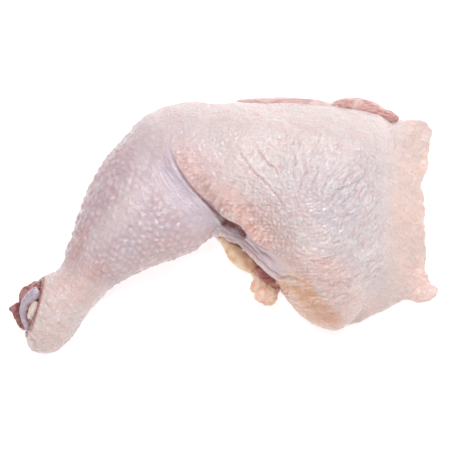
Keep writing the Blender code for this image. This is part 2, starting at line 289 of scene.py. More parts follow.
class SoftMass:
    """Overlapping closed shapes in one bmesh, that a voxel remesh joins into one soft body."""

    def __init__(self) -> None:
        """Starts with nothing."""
        self.cage = bmesh.new()

    def add_loft(self, stations: Stations, sides: int = 24) -> None:
        """Adds a closed tube of elliptical sections, each square to the smooth line of the stations.

        Args:
            stations: x, y, half width, half height and height of the middle, in millimetres.
            sides: how many sides its sections have.
        """
        path = eased_stations(stations)
        middles = [Vector((x, y, z)) for x, y, _, _, z in path]
        for i, (_, _, half_width, half_height, _) in enumerate(path):
            ahead = middles[min(i + 1, len(middles) - 1)] - middles[max(i - 1, 0)]
            place = (
                Matrix.Translation(middles[i])
                @ Matrix.Rotation(-math.atan2(ahead.x, ahead.y), 4, "Z")
                @ Matrix.Diagonal((half_width, 1, half_height, 1))
                @ Matrix.Rotation(math.radians(90), 4, "X")
            )
            if i == 0:
                ring = bmesh.ops.create_circle(self.cage, segments=sides, radius=1)["verts"]
                edges = list({edge for vert in ring for edge in vert.link_edges})
                bmesh.ops.contextual_create(self.cage, geom=edges)
            else:
                made = bmesh.ops.extrude_edge_only(self.cage, edges=edges)["geom"]
                ring = [g for g in made if isinstance(g, bmesh.types.BMVert)]
                edges = [g for g in made if isinstance(g, bmesh.types.BMEdge)]
                bmesh.ops.transform(self.cage, matrix=back, verts=ring)
            bmesh.ops.transform(self.cage, matrix=place, verts=ring)
            back = place.inverted()
        bmesh.ops.contextual_create(self.cage, geom=edges)

    def add_ball(self, middle: Place, radii: Place) -> None:
        """Adds an ellipsoid.

        Args:
            middle: where its middle is, in millimetres.
            radii: its radii, in millimetres.
        """
        ball = bmesh.ops.create_uvsphere(self.cage, u_segments=32, v_segments=16, radius=1)["verts"]
        bmesh.ops.scale(self.cage, vec=radii, verts=ball)
        bmesh.ops.translate(self.cage, vec=middle, verts=ball)

    def add_cushion(
        self, middle: tuple[float, float], outline: Stations, heights: Place, fullness: float
    ) -> None:
        """Adds a closed cushion with a stated plan outline.

        Args:
            middle: where the outline's middle is, in millimetres.
            outline: (degrees from +X, radius) rows.
            heights: of its bottom, of its widest level and of its top, in millimetres.
            fullness: 1 is a cone, 2 is round, and more is boxier.
        """
        bottom, mid, top = heights
        ball = bmesh.ops.create_uvsphere(self.cage, u_segments=96, v_segments=40, radius=1)["verts"]
        for vert in ball:
            reach = min(1.0, math.hypot(vert.co.x, vert.co.y))
            degrees = math.degrees(math.atan2(vert.co.y, vert.co.x))
            plan = radius_at(outline, degrees) * reach ** (2 / fullness)
            rise = abs(vert.co.z) ** (2 / fullness)
            vert.co = (
                middle[0] + plan * math.cos(math.radians(degrees)),
                middle[1] + plan * math.sin(math.radians(degrees)),
                mid + rise * ((top if vert.co.z > 0 else bottom) - mid),
            )

    def add_sheet(self, rim: Stations, base: float, thickness: float) -> None:
        """Adds a flat plate with a stated rim.

        Args:
            rim: x and y round its edge, in millimetres.
            base: the height of its underside.
            thickness: how thick it is.
        """
        ring = bmesh.ops.create_circle(self.cage, segments=len(rim), radius=1)["verts"]
        for vert, (x, y) in zip(ring, rim):
            vert.co = (x, y, base)
        edges = list({edge for vert in ring for edge in vert.link_edges})
        face = bmesh.ops.contextual_create(self.cage, geom=edges)["faces"]
        made = bmesh.ops.extrude_face_region(self.cage, geom=face, use_keep_orig=True)["geom"]
        top = [g for g in made if isinstance(g, bmesh.types.BMVert)]
        bmesh.ops.translate(self.cage, vec=(0, 0, thickness), verts=top)

    def joined(self, name: str, voxel: float, smoothing: int) -> bpy.types.Object:
        """Joins the shapes into one object, in metres.

        Args:
            name: what the object is called.
            voxel: the remesh's voxel, in millimetres.
            smoothing: how many rounds the joined surface is smoothed.

        Returns:
            The object.
        """
        bmesh.ops.scale(self.cage, vec=(MM, MM, MM), verts=self.cage.verts)
        bmesh.ops.recalc_face_normals(self.cage, faces=self.cage.faces)
        mesh = bpy.data.meshes.new(name)
        self.cage.to_mesh(mesh)
        self.cage.free()
        made = bpy.data.objects.new(name, mesh)
        bpy.context.scene.collection.objects.link(made)
        remeshed(made, voxel)
        softened(made, smoothing)
        return made


def settle(item: bpy.types.Object) -> None:
    """Applies an object's modifiers to its mesh.

    Args:
        item: the object.
    """
    graph = bpy.context.evaluated_depsgraph_get()
    graph.update()
    old = item.data
    item.data = bpy.data.meshes.new_from_object(item.evaluated_get(graph))
    item.data.name = item.name
    item.modifiers.clear()
    bpy.data.meshes.remove(old)


def remeshed(item: bpy.types.Object, voxel: float) -> None:
    """Gives an object a new skin of small even faces.

    Args:
        item: the object.
        voxel: the size of the faces, in millimetres.
    """
    remesh = item.modifiers.new("fuse", "REMESH")
    remesh.mode = "VOXEL"
    remesh.voxel_size = voxel * MM
    settle(item)


def softened(item: bpy.types.Object, rounds: int, weights: np.ndarray | None = None) -> None:
    """Smooths an object's mesh.

    Args:
        item: the object.
        rounds: how many rounds.
        weights: how much of it each vertex takes, from 0 to 1, or all of it.
    """
    soften = item.modifiers.new("soften", "SMOOTH")
    soften.factor = 0.5
    soften.iterations = rounds
    if weights is not None:
        group = item.vertex_groups.new(name="eased")
        for index, weight in enumerate(weights):
            if weight > 0.001:
                group.add([index], float(weight), "REPLACE")
        soften.vertex_group = group.name
    settle(item)
    item.vertex_groups.clear()


def sliced(item: bpy.types.Object, point: Place, facing: Place) -> None:
    """Cuts off what lies past a plane, and closes the cut flat.

    Args:
        item: the object that is cut.
        point: a point on the plane, in millimetres.
        facing: the way that the cut faces.
    """
    cage = bmesh.new()
    cage.from_mesh(item.data)
    geometry = cage.verts[:] + cage.edges[:] + cage.faces[:]
    parted = bmesh.ops.bisect_plane(
        cage, geom=geometry, plane_co=Vector(point) * MM, plane_no=facing, clear_outer=True
    )
    rim = [g for g in parted["geom_cut"] if isinstance(g, bmesh.types.BMEdge)]
    bmesh.ops.triangle_fill(cage, use_beauty=True, edges=rim)
    bmesh.ops.recalc_face_normals(cage, faces=cage.faces)
    cage.to_mesh(item.data)
    cage.free()


def thin_hidden(item: bpy.types.Object, share: float) -> None:
    """Thins the faces that look down, which nobody sees, and leaves the rest alone.

    Args:
        item: the object.
        share: how much of all its triangles is kept.
    """
    group = item.vertex_groups.new(name="hidden")
    normals = np.empty(len(item.data.vertices) * 3)
    item.data.vertices.foreach_get("normal", normals)
    for index in np.flatnonzero(normals[2::3] < -0.2):
        group.add([int(index)], 1.0, "REPLACE")
    thin = item.modifiers.new("thin", "DECIMATE")
    thin.ratio = share
    thin.vertex_group = group.name
    thin.vertex_group_factor = 10.0
    settle(item)
    item.vertex_groups.clear()


def socketed(host: bpy.types.Object, guests: list[bpy.types.Object], gap: float) -> None:
    """Cuts the guests' sockets in a host, with one cutter grown from all of them.

    Args:
        host: the object that is cut.
        guests: the objects that sit in it.
        gap: the room left round each guest, in millimetres.
    """
    cage = bmesh.new()
    for guest in guests:
        known = len(cage.verts)
        cage.from_mesh(guest.data)
        cage.verts.ensure_lookup_table()
        for vert in cage.verts[known:]:
            vert.co += vert.normal * gap * MM
    mesh = bpy.data.meshes.new("sockets")
    cage.to_mesh(mesh)
    cage.free()
    cutter = bpy.data.objects.new("sockets", mesh)
    bpy.context.scene.collection.objects.link(cutter)
    remeshed(cutter, 0.6)
    away = host.modifiers.new("sockets", "BOOLEAN")
    away.operation = "DIFFERENCE"
    away.object = cutter
    settle(host)
    bpy.data.objects.remove(cutter)


class Sculpt:
    """Moves an object's vertices as a sculptor does, with places and heights in millimetres."""

    def __init__(self, item: bpy.types.Object) -> None:
        """Takes an object in hand."""
        self.item = item
        self.read()

    def read(self) -> None:
        """Reads the places and the normals of the vertices."""
        vertices = self.item.data.vertices
        flat = np.empty(len(vertices) * 3)
        vertices.foreach_get("co", flat)
        self.at = flat.reshape(-1, 3) / MM
        normals = np.empty_like(flat)
        vertices.foreach_get("normal", normals)
        self.normal = normals.reshape(-1, 3)
        self.x, self.y, self.z = self.at.T
        self.up = self.normal[:, 2]

    def move(self, shift: np.ndarray) -> None:
        """Moves the vertices.

        Args:
            shift: each vertex's move.
        """
        vertices = self.item.data.vertices
        vertices.foreach_set("co", ((self.at + shift) * MM).ravel())
        self.item.data.update()
        self.read()

    def push(self, height: np.ndarray) -> None:
        """Moves the vertices along their normals, each by its own height."""
        self.move(self.normal * height[:, None])

    def keep_above(self, level: float) -> None:
        """Lifts what lies below a level on to it."""
        lift = np.maximum(level - self.z, 0)
        self.move(np.stack([np.zeros_like(lift), np.zeros_like(lift), lift], axis=1))

    def store(self, name: str, values: np.ndarray) -> None:
        """Keeps values on the mesh, for a material to read.

        Args:
            name: the attribute's name.
            values: one number, or three, or a colour of four, for each vertex.
        """
        kind = {1: "FLOAT", 3: "FLOAT_VECTOR", 4: "FLOAT_COLOR"}[1 if values.ndim == 1 else values.shape[1]]
        layer = self.item.data.attributes.new(name, kind, "POINT")
        field_name = {"FLOAT": "value", "FLOAT_VECTOR": "vector", "FLOAT_COLOR": "color"}[kind]
        layer.data.foreach_set(field_name, values.astype(np.float32).ravel())


def lofted(name: str, stations: Stations, voxel: float, smoothing: int) -> Sculpt:
    """Builds a soft piece from one loft, ready to be sculpted.

    Args:
        name: what the piece is called.
        stations: as for SoftMass.add_loft.
        voxel: the remesh's voxel, in millimetres.
        smoothing: how many rounds it is smoothed.

    Returns:
        The piece, under the sculptor's hands.
    """
    soft = SoftMass()
    soft.add_loft(stations)
    return Sculpt(soft.joined(name, voxel, smoothing))


# ---------------------------------------------------------------- finishes


class NodeBoard:
    """A new material and its nodes, added one by one."""

    def __init__(self, name: str, sockets: dict[str, float | tuple[float, ...]]) -> None:
        """Starts the material.

        Args:
            name: what the material is called.
            sockets: the shader's constants, by socket name.
        """
        self.material = bpy.data.materials.new(name)
        self.material.use_nodes = True
        self.tree = self.material.node_tree
        self.shader = self.tree.nodes["Principled BSDF"]
        for socket, value in sockets.items():
            self.shader.inputs[socket].default_value = value

    def add(self, kind: str, links: dict[str | int, object], **settings: object) -> bpy.types.Node:
        """Adds a node with its settings and links.

        Args:
            kind: the end of the node's type name.
            links: input name or number to the output socket that feeds it, or to its value.
            settings: the node's own properties.

        Returns:
            The node.
        """
        node = self.tree.nodes.new("ShaderNode" + kind)
        for name, value in settings.items():
            setattr(node, name, value)
        for name, value in links.items():
            if isinstance(value, bpy.types.NodeSocket):
                self.tree.links.new(value, node.inputs[name])
            else:
                node.inputs[name].default_value = value
        return node

    def place(self) -> bpy.types.NodeSocket:
        """Adds the object's own coordinates, in metres."""
        return self.add("TexCoord", {}).outputs["Object"]

    def attribute(self, name: str, output: str) -> bpy.types.NodeSocket:
        """Adds what is stored on the mesh under a name, as Color, Vector or Fac."""
        return self.add("Attribute", {}, attribute_name=name).outputs[output]

    def noise(
        self, where: bpy.types.NodeSocket, size: float, detail: float, rough: float = 0.6, bent: float = 0.0
    ) -> bpy.types.NodeSocket:
        """Adds noise with waves of a stated size, in the coordinates' unit."""
        links = {"Vector": where, "Scale": 1 / size, "Detail": detail, "Roughness": rough, "Distortion": bent}
        return self.add("TexNoise", links).outputs["Fac"]

    def stretched(self, where: bpy.types.NodeSocket, scale: Place) -> bpy.types.NodeSocket:
        """Adds coordinates scaled along each axis."""
        return self.add("Mapping", {"Vector": where, "Scale": scale}).outputs["Vector"]

    def cells(self, where: bpy.types.NodeSocket, size: float, smooth: float) -> bpy.types.NodeSocket:
        """Adds the distance to the nearest of many smooth cells of a stated size."""
        links = {"Vector": where, "Scale": 1 / size, "Smoothness": smooth}
        return self.add("TexVoronoi", links, feature="SMOOTH_F1").outputs["Distance"]

    def ranged(
        self, value: bpy.types.NodeSocket, low: float, high: float, start: float = 0.0, end: float = 1.0
    ) -> bpy.types.NodeSocket:
        """Adds a turn of low to high into start to end."""
        links = {"Value": value, "From Min": low, "From Max": high, "To Min": start, "To Max": end}
        return self.add("MapRange", links).outputs["Result"]

    def mixed(self, share: bpy.types.NodeSocket, first: object, second: object) -> bpy.types.NodeSocket:
        """Adds a mix of two colours.

        Args:
            share: how much of the second shows.
            first: a hex colour, or the socket that gives one.
            second: the same.

        Returns:
            The mixed colour's socket.
        """
        first, second = (linear(c) if isinstance(c, str) else c for c in (first, second))
        links = {"Factor": share, "A": first, "B": second}
        return self.add("Mix", links, data_type="RGBA").outputs[2]

    def bump(
        self, height: bpy.types.NodeSocket, strength: float, distance: float, **more: object
    ) -> bpy.types.NodeSocket:
        """Adds relief.

        Args:
            height: what gives the relief its shape.
            strength: how much of it shows.
            distance: how high it stands, in millimetres.
            more: under, the relief that it is laid over, and invert, which turns it over.

        Returns:
            The relief's normal.
        """
        links = {"Height": height, "Strength": strength, "Distance": distance * MM}
        if "under" in more:
            links["Normal"] = more["under"]
        return self.add("Bump", links, invert=bool(more.get("invert"))).outputs["Normal"]

    def finished(self, colour: bpy.types.NodeSocket, normal: bpy.types.NodeSocket) -> bpy.types.Material:
        """Feeds the shader.

        Args:
            colour: its colour.
            normal: its relief, for the coat as well.

        Returns:
            The material.
        """
        self.tree.links.new(colour, self.shader.inputs["Base Color"])
        for socket in ("Normal", "Coat Normal"):
            self.tree.links.new(normal, self.shader.inputs[socket])
        return self.material


@dataclass(frozen=True)
class MoistSkin:
    """Raw poultry skin: thin, moist and slightly see-through, over pale fat and pink flesh.

    It gives the eye a soft pinkish glow, fine stretch lines and pores, and small wet glints.
    """

    roughness: float = 0.42
    wet: float = 1.0
    fold_size: float = 1.1
    pore_size: float = 1.5

    def material(self) -> bpy.types.Material:
        """Makes the material.

        Returns:
            The material.
        """
        board = NodeBoard("moist_poultry_skin", {
            "IOR": 1.4, "Subsurface Weight": 0.30, "Subsurface Radius": (1.0, 0.42, 0.30),
            "Subsurface Scale": 0.0022, "Coat Weight": self.wet, "Coat Roughness": 0.06, "Coat IOR": 1.38,
        })
        place = board.place()
        # The stored tone holds painted shade and painted highlights as well as the skin's own colours.
        tone = board.attribute("tone", "Color")
        flow = board.attribute("flow", "Vector")
        folds = board.attribute("folds", "Fac")
        # Pink blotches from the flesh below, and paler flecks of fat.
        blotch = board.noise(place, 6 * MM, 4.0, bent=0.4)
        fleck = board.noise(place, 1.6 * MM, 3.0)
        pinked = board.mixed(board.ranged(blotch, 0.45, 0.72, 0.0, 0.24), tone, "#DEA9A0")
        flecked = board.mixed(board.ranged(fleck, 0.52, 0.74, 0.0, 0.22), pinked, "#F6EDE9")
        # Stretch lines along the folds, pores, and a fine wet ripple.
        along = board.stretched(flow, (1 / self.fold_size, 1 / (6 * self.fold_size), 1.0))
        line = board.noise(along, 1.0, 2.0, 0.5)
        lined = board.add("Math", {0: line, 1: folds}, operation="MULTIPLY").outputs[0]
        pore = board.cells(place, self.pore_size * MM, 0.5)
        ripple = board.noise(place, 1.1 * MM, 2.0, 0.5)
        bump = board.bump(lined, 0.75, 0.9)
        bump = board.bump(pore, 0.55, 0.5, under=bump, invert=True)
        bump = board.bump(ripple, 0.70, 0.45, under=bump)
        rough = board.ranged(fleck, 0.3, 0.7, self.roughness + 0.08, self.roughness - 0.10)
        board.tree.links.new(rough, board.shader.inputs["Roughness"])
        return board.finished(flecked, bump)


@dataclass(frozen=True)
class FibrousMeat:
    """Raw poultry muscle, cut bare: bundles of wet fibres under a thin pale film.

    It gives the eye a pink to dark red with pale streaks along the fibres, and a wet gloss.
    """

    name: str
    deep: str
    light: str
    film: str
    fibre: Place = (0.16, 1.4, 1.1)

    def material(self) -> bpy.types.Material:
        """Makes the material.

        Returns:
            The material.
        """
        board = NodeBoard(self.name, {
            "Roughness": 0.36, "IOR": 1.4, "Subsurface Weight": 0.25, "Subsurface Radius": (1.0, 0.30, 0.22),
            "Subsurface Scale": 0.003, "Coat Weight": 0.5, "Coat Roughness": 0.12, "Coat IOR": 1.34,
        })
        place = board.place()
        strands = board.noise(board.stretched(place, tuple(size / MM for size in self.fibre)), 1.0, 4.0)
        patches = board.noise(place, 6 * MM, 3.0, bent=0.6)
        muscle = board.mixed(board.ranged(strands, 0.35, 0.65), self.deep, self.light)
        covered = board.mixed(board.ranged(patches, 0.48, 0.66, 0.0, 0.8), muscle, self.film)
        return board.finished(covered, board.bump(strands, 0.6, 0.6))


@dataclass(frozen=True)
class SoftFat:
    """Raw poultry fat: small soft globules under a moist film.

    It gives the eye a creamy yellow glow with paler lobes and pink stains between them.
    """

    name: str
    cream: str
    stain: str

    def material(self) -> bpy.types.Material:
        """Makes the material.

        Returns:
            The material.
        """
        board = NodeBoard(self.name, {
            "Roughness": 0.40, "IOR": 1.44, "Subsurface Weight": 0.40, "Subsurface Radius": (1.0, 0.6, 0.35),
            "Subsurface Scale": 0.004, "Coat Weight": 0.7, "Coat Roughness": 0.10, "Coat IOR": 1.34,
        })
        place = board.place()
        globule = board.cells(place, 2.6 * MM, 0.7)
        cloud = board.noise(place, 5 * MM, 3.0)
        pale = board.mixed(globule, "#FBE6CC", self.cream)
        stained = board.mixed(board.ranged(cloud, 0.46, 0.70, 0.0, 0.75), pale, self.stain)
        return board.finished(stained, board.bump(globule, 0.5, 0.5, invert=True))


@dataclass(frozen=True)
class WetConnective:
    """Cartilage or tendon, cut and wet: dense, smooth and slightly see-through.

    It gives the eye an even, glossy surface with faint streaks and a pink stain at its roots.
    """

    name: str
    body: str
    streak: str
    gloss: float = 0.2

    def material(self) -> bpy.types.Material:
        """Makes the material.

        Returns:
            The material.
        """
        board = NodeBoard(self.name, {
            "Roughness": self.gloss + 0.1, "IOR": 1.42, "Subsurface Weight": 0.35,
            "Subsurface Radius": (1.0, 0.7, 0.7), "Subsurface Scale": 0.002, "Coat Weight": 0.6,
            "Coat Roughness": self.gloss * 0.5, "Coat IOR": 1.34,
        })
        streaks = board.noise(board.place(), 2.2 * MM, 4.0, bent=1.0)
        colour = board.mixed(board.ranged(streaks, 0.42, 0.68), self.body, self.streak)
        return board.finished(colour, board.bump(streaks, 0.4, 0.3))


Finish = MoistSkin | FibrousMeat | SoftFat | WetConnective
Outfit = tuple[bpy.types.Object, Finish, Slot, str]


def dress(piece: bpy.types.Object, finish: Finish, slot: Slot, *nodes: str) -> None:
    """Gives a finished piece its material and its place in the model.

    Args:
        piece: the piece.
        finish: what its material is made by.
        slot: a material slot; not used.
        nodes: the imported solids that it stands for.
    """
    piece.data.materials.clear()
    piece.data.materials.append(finish.material())
    piece.data.shade_smooth()
    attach(piece, BODY)
    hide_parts(*nodes)
    log.info("%s: %d faces", piece.name, len(piece.data.polygons))


# ---------------------------------------------------------------- the leg under its skin


@dataclass(frozen=True)
class Relief:
    """How high each kind of relief stands on the skin, in millimetres."""

    goosebump: float = 1.16
    taut_line: float = 0.50
    fan_fold: float = 0.56
    arc_fold: float = 0.64
    pebble: float = 0.55
    lip_crinkle: float = 0.55
    wrinkle: float = 1.25
    wrinkle_edge: float = 0.4
    furrow: float = 0.55
    lip_roll: float = 0.50
    web: float = 2.2
    groove: float = 0.80
    pit: float = 2.4


@dataclass(frozen=True)
class Pattern:
    """How large each of the skin's patterns is: across and along its folds, in millimetres."""

    goosebumps: tuple[float, ...] = (3.2, 3.4)
    goosebump_stray: float = 0.26
    goosebump_tip: float = 1.25
    taut_lines: tuple[float, ...] = (1.7, 16.0)
    fan: tuple[float, ...] = (2.7, 9.0)
    fine_fan: tuple[float, ...] = (1.9, 4.5)
    arcs: tuple[float, ...] = (2.6, 10.0)
    fine_arcs: tuple[float, ...] = (1.9, 5.0)
    fine_share: float = 0.8
    pebbles: Place = (2.1, 2.1, 2.1)
    plain_cells: Place = (1.6, 1.6, 1.6)
    lip_crinkle: tuple[float, ...] = (2.1, 6.0)
    heel_folds: tuple[float, ...] = (2.6, 12.0)
    heel_cells: Place = (1.7, 1.7, 1.7)
    flap_cells: Place = (1.8, 1.8, 9.0)
    flap_folds: tuple[float, ...] = (2.6, 9.0)


@dataclass
class SkinnedLeg:
    """The drumstick and the thigh under one skin, with the strap at the bend and the loose flap."""

    # Drumstick from the heel to the knee: x, y, half width, half height, height of the middle.
    drumstick: Stations = (
        (-93.0, -51.6, 15.0, 12.2, 12.6), (-88.0, -46.2, 16.6, 13.6, 13.8),
        (-83.2, -41.0, 16.8, 14.2, 14.6), (-79.0, -37.2, 15.6, 13.6, 14.8),
        (-73.0, -32.2, 13.2, 12.0, 15.6), (-67.2, -26.4, 12.6, 12.4, 16.4),
        (-62.4, -18.6, 15.2, 14.6, 17.6), (-56.8, -12.0, 18.9, 17.0, 18.6), (-51.2, -5.2, 22.9, 19.4, 19.8),
        (-45.2, 1.4, 26.8, 21.2, 20.4), (-38.6, 7.6, 30.0, 22.0, 20.4), (-31.2, 14.0, 31.8, 21.6, 19.8),
        (-22.6, 22.4, 31.0, 20.0, 18.6), (-12.0, 32.0, 26.0, 16.0, 17.4),
    )
    heel_lobes: Stations = ((-84.6, -51.0, 12.6, 10.8), (-89.0, -55.8, 9.2, 6.2))
    hock_cut_point: Place = (-89.5, -40.5, 26.6)
    hock_cut_facing: Place = (-0.94, 0.26, 0.20)
    broad_masses: tuple[tuple[Place, Place], ...] = (
        ((-14.6, 31.4, 17.4), (36.4, 28.6, 24.2)),
        ((6.0, 30.0, 18.0), (36.0, 29.6, 25.6)),
        ((26.0, 14.0, 20.0), (28.0, 24.0, 24.6)),
        ((6.6, -3.0, 8.4), (13.0, 9.0, 7.6)),
    )
    lip: Stations = (
        (-26.0, 45.0, 5.0, 9.0, 27.0), (-17.4, 36.6, 9.0, 13.0, 28.6), (-8.6, 25.4, 9.4, 14.0, 28.2),
        (1.2, 14.8, 9.2, 14.0, 27.8), (9.4, 6.8, 8.6, 13.6, 26.6), (16.6, -1.6, 7.8, 12.6, 25.2),
        (25.0, -8.6, 7.2, 11.6, 24.4), (35.0, -14.0, 6.4, 10.0, 24.0),
    )
    thigh_middle: tuple[float, float] = (36.7, 9.8)
    thigh_outline: Stations = (
        (0, 43.4), (20, 47.6), (32, 55.0), (41, 60.4), (50, 59.4), (60, 55.2), (75, 50.4), (90, 50.0),
        (105, 52.0), (120, 56.0), (135, 60.0), (147, 66.0), (156, 68.0), (164, 62.0), (172, 54.0),
        (181, 48.0), (193, 42.0), (212, 33.0), (232, 31.6), (248, 37.2), (260, 44.4), (271, 54.6),
        (283, 62.4), (294, 61.8), (308, 55.6), (325, 48.4), (342, 44.6),
    )
    thigh_heights: Place = (-2.0, 9.0, 47.0)
    thigh_fullness: float = 1.85
    skirt_middle: tuple[float, float] = (48.0, 4.0)
    skirt_outline: Stations = (
        (0, 50.0), (30, 55.0), (46, 65.0), (62, 48.0), (90, 40.0), (150, 36.0), (210, 32.0), (255, 38.0),
        (278, 52.0), (300, 56.0), (320, 56.0), (340, 52.0),
    )
    skirt_heights: Place = (0.6, 3.0, 44.0)
    flap_rim: Stations = (
        (72.0, 51.6), (80.0, 52.0), (87.6, 52.0), (95.0, 51.8), (99.6, 49.8), (101.4, 45.0), (100.6, 39.4),
        (99.6, 34.4), (99.8, 28.6), (97.2, 23.0), (94.5, 18.6), (96.5, 14.4), (97.5, 9.6), (96.6, 6.2),
        (97.7, 0.0), (98.4, -11.8), (98.3, -21.4), (99.9, -27.0), (103.8, -30.0), (104.0, -33.4),
        (99.6, -37.2), (94.6, -37.8), (88.8, -36.2), (83.8, -38.2), (79.0, -40.7), (72.7, -42.8),
        (65.5, -47.0), (60.0, -48.8), (52.0, -47.0), (48.0, -20.0), (48.0, 20.0), (60.0, 46.0),
    )
    flap_base: float = 1.2
    flap_thickness: float = 2.8
    flap_wave: float = 1.9
    flap_start: float = 80.0
    flap_free: float = 94.0
    strap: Stations = (
        (-5.0, 0.6, 3.2, 4.0, 18.0), (1.7, -3.4, 3.0, 4.4, 19.0), (8.6, -6.9, 3.1, 5.0, 19.6),
        (13.4, -11.1, 3.5, 5.6, 20.2), (18.9, -15.9, 4.1, 6.2, 20.6), (24.4, -20.0, 4.8, 6.6, 20.8),
        (31.0, -23.6, 5.6, 6.6, 21.0), (40.0, -27.0, 6.0, 6.2, 21.0),
    )
    # The strap's furrows: where across its half width, and from and to which x.
    strap_furrows: Stations = ((-0.55, 4.0, 27.0), (-0.10, -2.0, 22.0), (0.35, 6.0, 32.0), (0.70, -1.0, 17.0))
    # Where the masses stay distinct: x, y and reach.
    crisp_spots: Stations = (
        (-26.0, 35.0, 4.0), (-20.2, 26.0, 6.0), (-15.7, 19.4, 7.0), (-9.9, 12.9, 8.0), (-4.4, 7.8, 9.0),
        (2.0, 2.6, 10.0), (7.9, -2.8, 11.0), (14.0, -9.0, 11.0), (20.0, -15.0, 10.0), (27.0, -21.0, 9.0),
        (34.0, -27.0, 7.0), (-90.0, -32.0, 12.0), (-92.0, -42.0, 13.0), (-88.0, -53.0, 12.0),
        (58.0, -50.0, 7.0), (68.0, -46.0, 7.0), (78.0, -41.0, 7.0), (88.0, -37.0, 7.0), (78.0, 52.0, 6.0),
        (88.0, 52.0, 7.0),
    )
    crisp_flap: float = 92.0
    coarse_voxel: float = 1.25
    fine_voxel: float = 0.64
    kept_share: float = 0.62
    easing_rounds: int = 70
    flank_rounds: int = 110
    socket_gap: float = 0.3
    high: Relief = Relief()
    wide: Pattern = Pattern()

    # The crease where the thigh's lip lies over the drumstick: x, y, depth of the groove.
    crease: Stations = (
        (-27.6, 41.0, 0.0), (-25.3, 36.2, 0.5), (-23.6, 32.8, 0.9), (-20.2, 26.0, 1.2), (-15.7, 19.4, 1.5),
        (-9.9, 12.9, 1.7), (-4.4, 7.8, 1.9), (0.4, 3.7, 2.2), (3.8, 1.6, 2.6), (7.9, -0.8, 2.6),
        (11.3, -4.9, 2.2), (14.8, -8.3, 1.4), (20.3, -11.4, 0.7), (26.0, -14.0, 0.0),
    )
    # The line that parts the drumstick from the rest: the crease, run on over the knee.
    drumstick_edge: Stations = (
        (-38.0, 64.0), (-31.0, 50.0), (-25.3, 36.2), (-20.2, 26.0), (-15.7, 19.4), (-9.9, 12.9),
        (-4.4, 7.8), (0.4, 3.7), (5.0, 0.0), (8.0, -8.0), (8.0, -18.0),
    )
    # Long creases in the thigh's skin: x, y and depth.
    wrinkles: tuple[Stations, ...] = (
        ((5.0, 39.5, 0.0), (8.0, 34.0, 0.35), (12.4, 28.0, 0.45), (17.0, 22.6, 0.5), (23.3, 15.7, 0.5),
         (27.0, 10.6, 0.4), (30.0, 7.6, 0.0)),
        ((15.4, 40.0, 0.0), (18.0, 34.6, 0.4), (21.0, 29.8, 0.55), (25.0, 25.0, 0.55), (27.6, 21.6, 0.0)),
        ((20.6, 41.6, 0.0), (23.0, 37.6, 0.35), (26.0, 34.0, 0.0)),
        ((31.6, 38.4, 0.0), (33.6, 32.0, 0.4), (33.4, 25.4, 0.35), (32.4, 19.6, 0.0)),
        ((38.0, 36.0, 0.0), (38.6, 29.6, 0.35), (37.6, 22.8, 0.4), (36.0, 16.6, 0.0)),
        ((45.6, 30.6, 0.0), (43.4, 24.0, 0.4), (41.0, 17.6, 0.3), (39.0, 12.6, 0.0)),
        ((53.6, 27.0, 0.0), (50.0, 21.0, 0.35), (46.4, 15.4, 0.35), (42.6, 10.6, 0.0)),
        ((60.0, 21.6, 0.0), (56.0, 17.0, 0.3), (50.6, 11.6, 0.3), (46.0, 8.0, 0.0)),
        ((26.0, -24.6, 0.3), (29.0, -24.4, 0.5), (33.0, -25.0, 0.45), (37.0, -26.4, 0.3), (41.0, -29.0, 0.0)),
    )

    def mass(self) -> bpy.types.Object:
        """Builds the smooth body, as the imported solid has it.

        Returns:
            The body, closed and flat underneath.
        """
        soft = SoftMass()
        soft.add_loft(self.drumstick, sides=48)
        for x, y, z, radius in self.heel_lobes:
            soft.add_ball((x, y, z), (radius, radius, radius))
        for middle, radii in self.broad_masses:
            soft.add_ball(middle, radii)
        soft.add_loft(self.lip)
        soft.add_cushion(self.thigh_middle, self.thigh_outline, self.thigh_heights, self.thigh_fullness)
        soft.add_cushion(self.skirt_middle, self.skirt_outline, self.skirt_heights, 1.0)
        soft.add_loft(self.strap)
        soft.add_sheet(self.flap_rim, self.flap_base, self.flap_thickness)
        body = soft.joined("skin", self.coarse_voxel, 6)
        sculpt = Sculpt(body)
        softened(body, self.easing_rounds, self.easing_weights(sculpt.x, sculpt.y))
        sculpt = Sculpt(body)
        wave = np.sin(sculpt.y / 9.5 + 0.6) + 0.6 * np.sin(sculpt.y / 4.7 + sculpt.x / 11.0)
        lift = ease(self.flap_start, self.flap_free, sculpt.x) * self.flap_wave * np.maximum(-0.4, wave)
        sculpt.move(np.outer(lift, (0, 0, 1)))
        flank = ease(64, 76, sculpt.x) * ease(96, 88, sculpt.x) * ease(1.5, 5.0, sculpt.z)
        softened(body, self.flank_rounds, flank)
        sliced(body, self.hock_cut_point, self.hock_cut_facing)
        sliced(body, (0, 0, 0), (0, 0, -1))
        return body

    def easing_weights(self, x: np.ndarray, y: np.ndarray) -> np.ndarray:
        """How far the masses are eased into each other.

        Args:
            x: where, in plan.
            y: where, in plan.

        Returns:
            Shares from 0 to 1.
        """
        crisp = ease(self.crisp_flap - 8, self.crisp_flap, x)
        for spot_x, spot_y, reach in self.crisp_spots:
            crisp = np.maximum(crisp, 1 - ease(0.5 * reach, 1.3 * reach, np.hypot(x - spot_x, y - spot_y)))
        return 1 - crisp

    def around_drumstick(self, sculpt: Sculpt) -> tuple[np.ndarray, np.ndarray]:
        """Measures the vertices along and around the drumstick.

        Args:
            sculpt: the leg.

        Returns:
            How far along it from the heel, and how far round it at a middling radius.
        """
        side, along, row = Stroke(self.drumstick).measure(sculpt.x, sculpt.y)
        turn = np.arctan2((sculpt.z - row[:, 4]) / row[:, 3], side / row[:, 2])
        return along, turn * 24.0

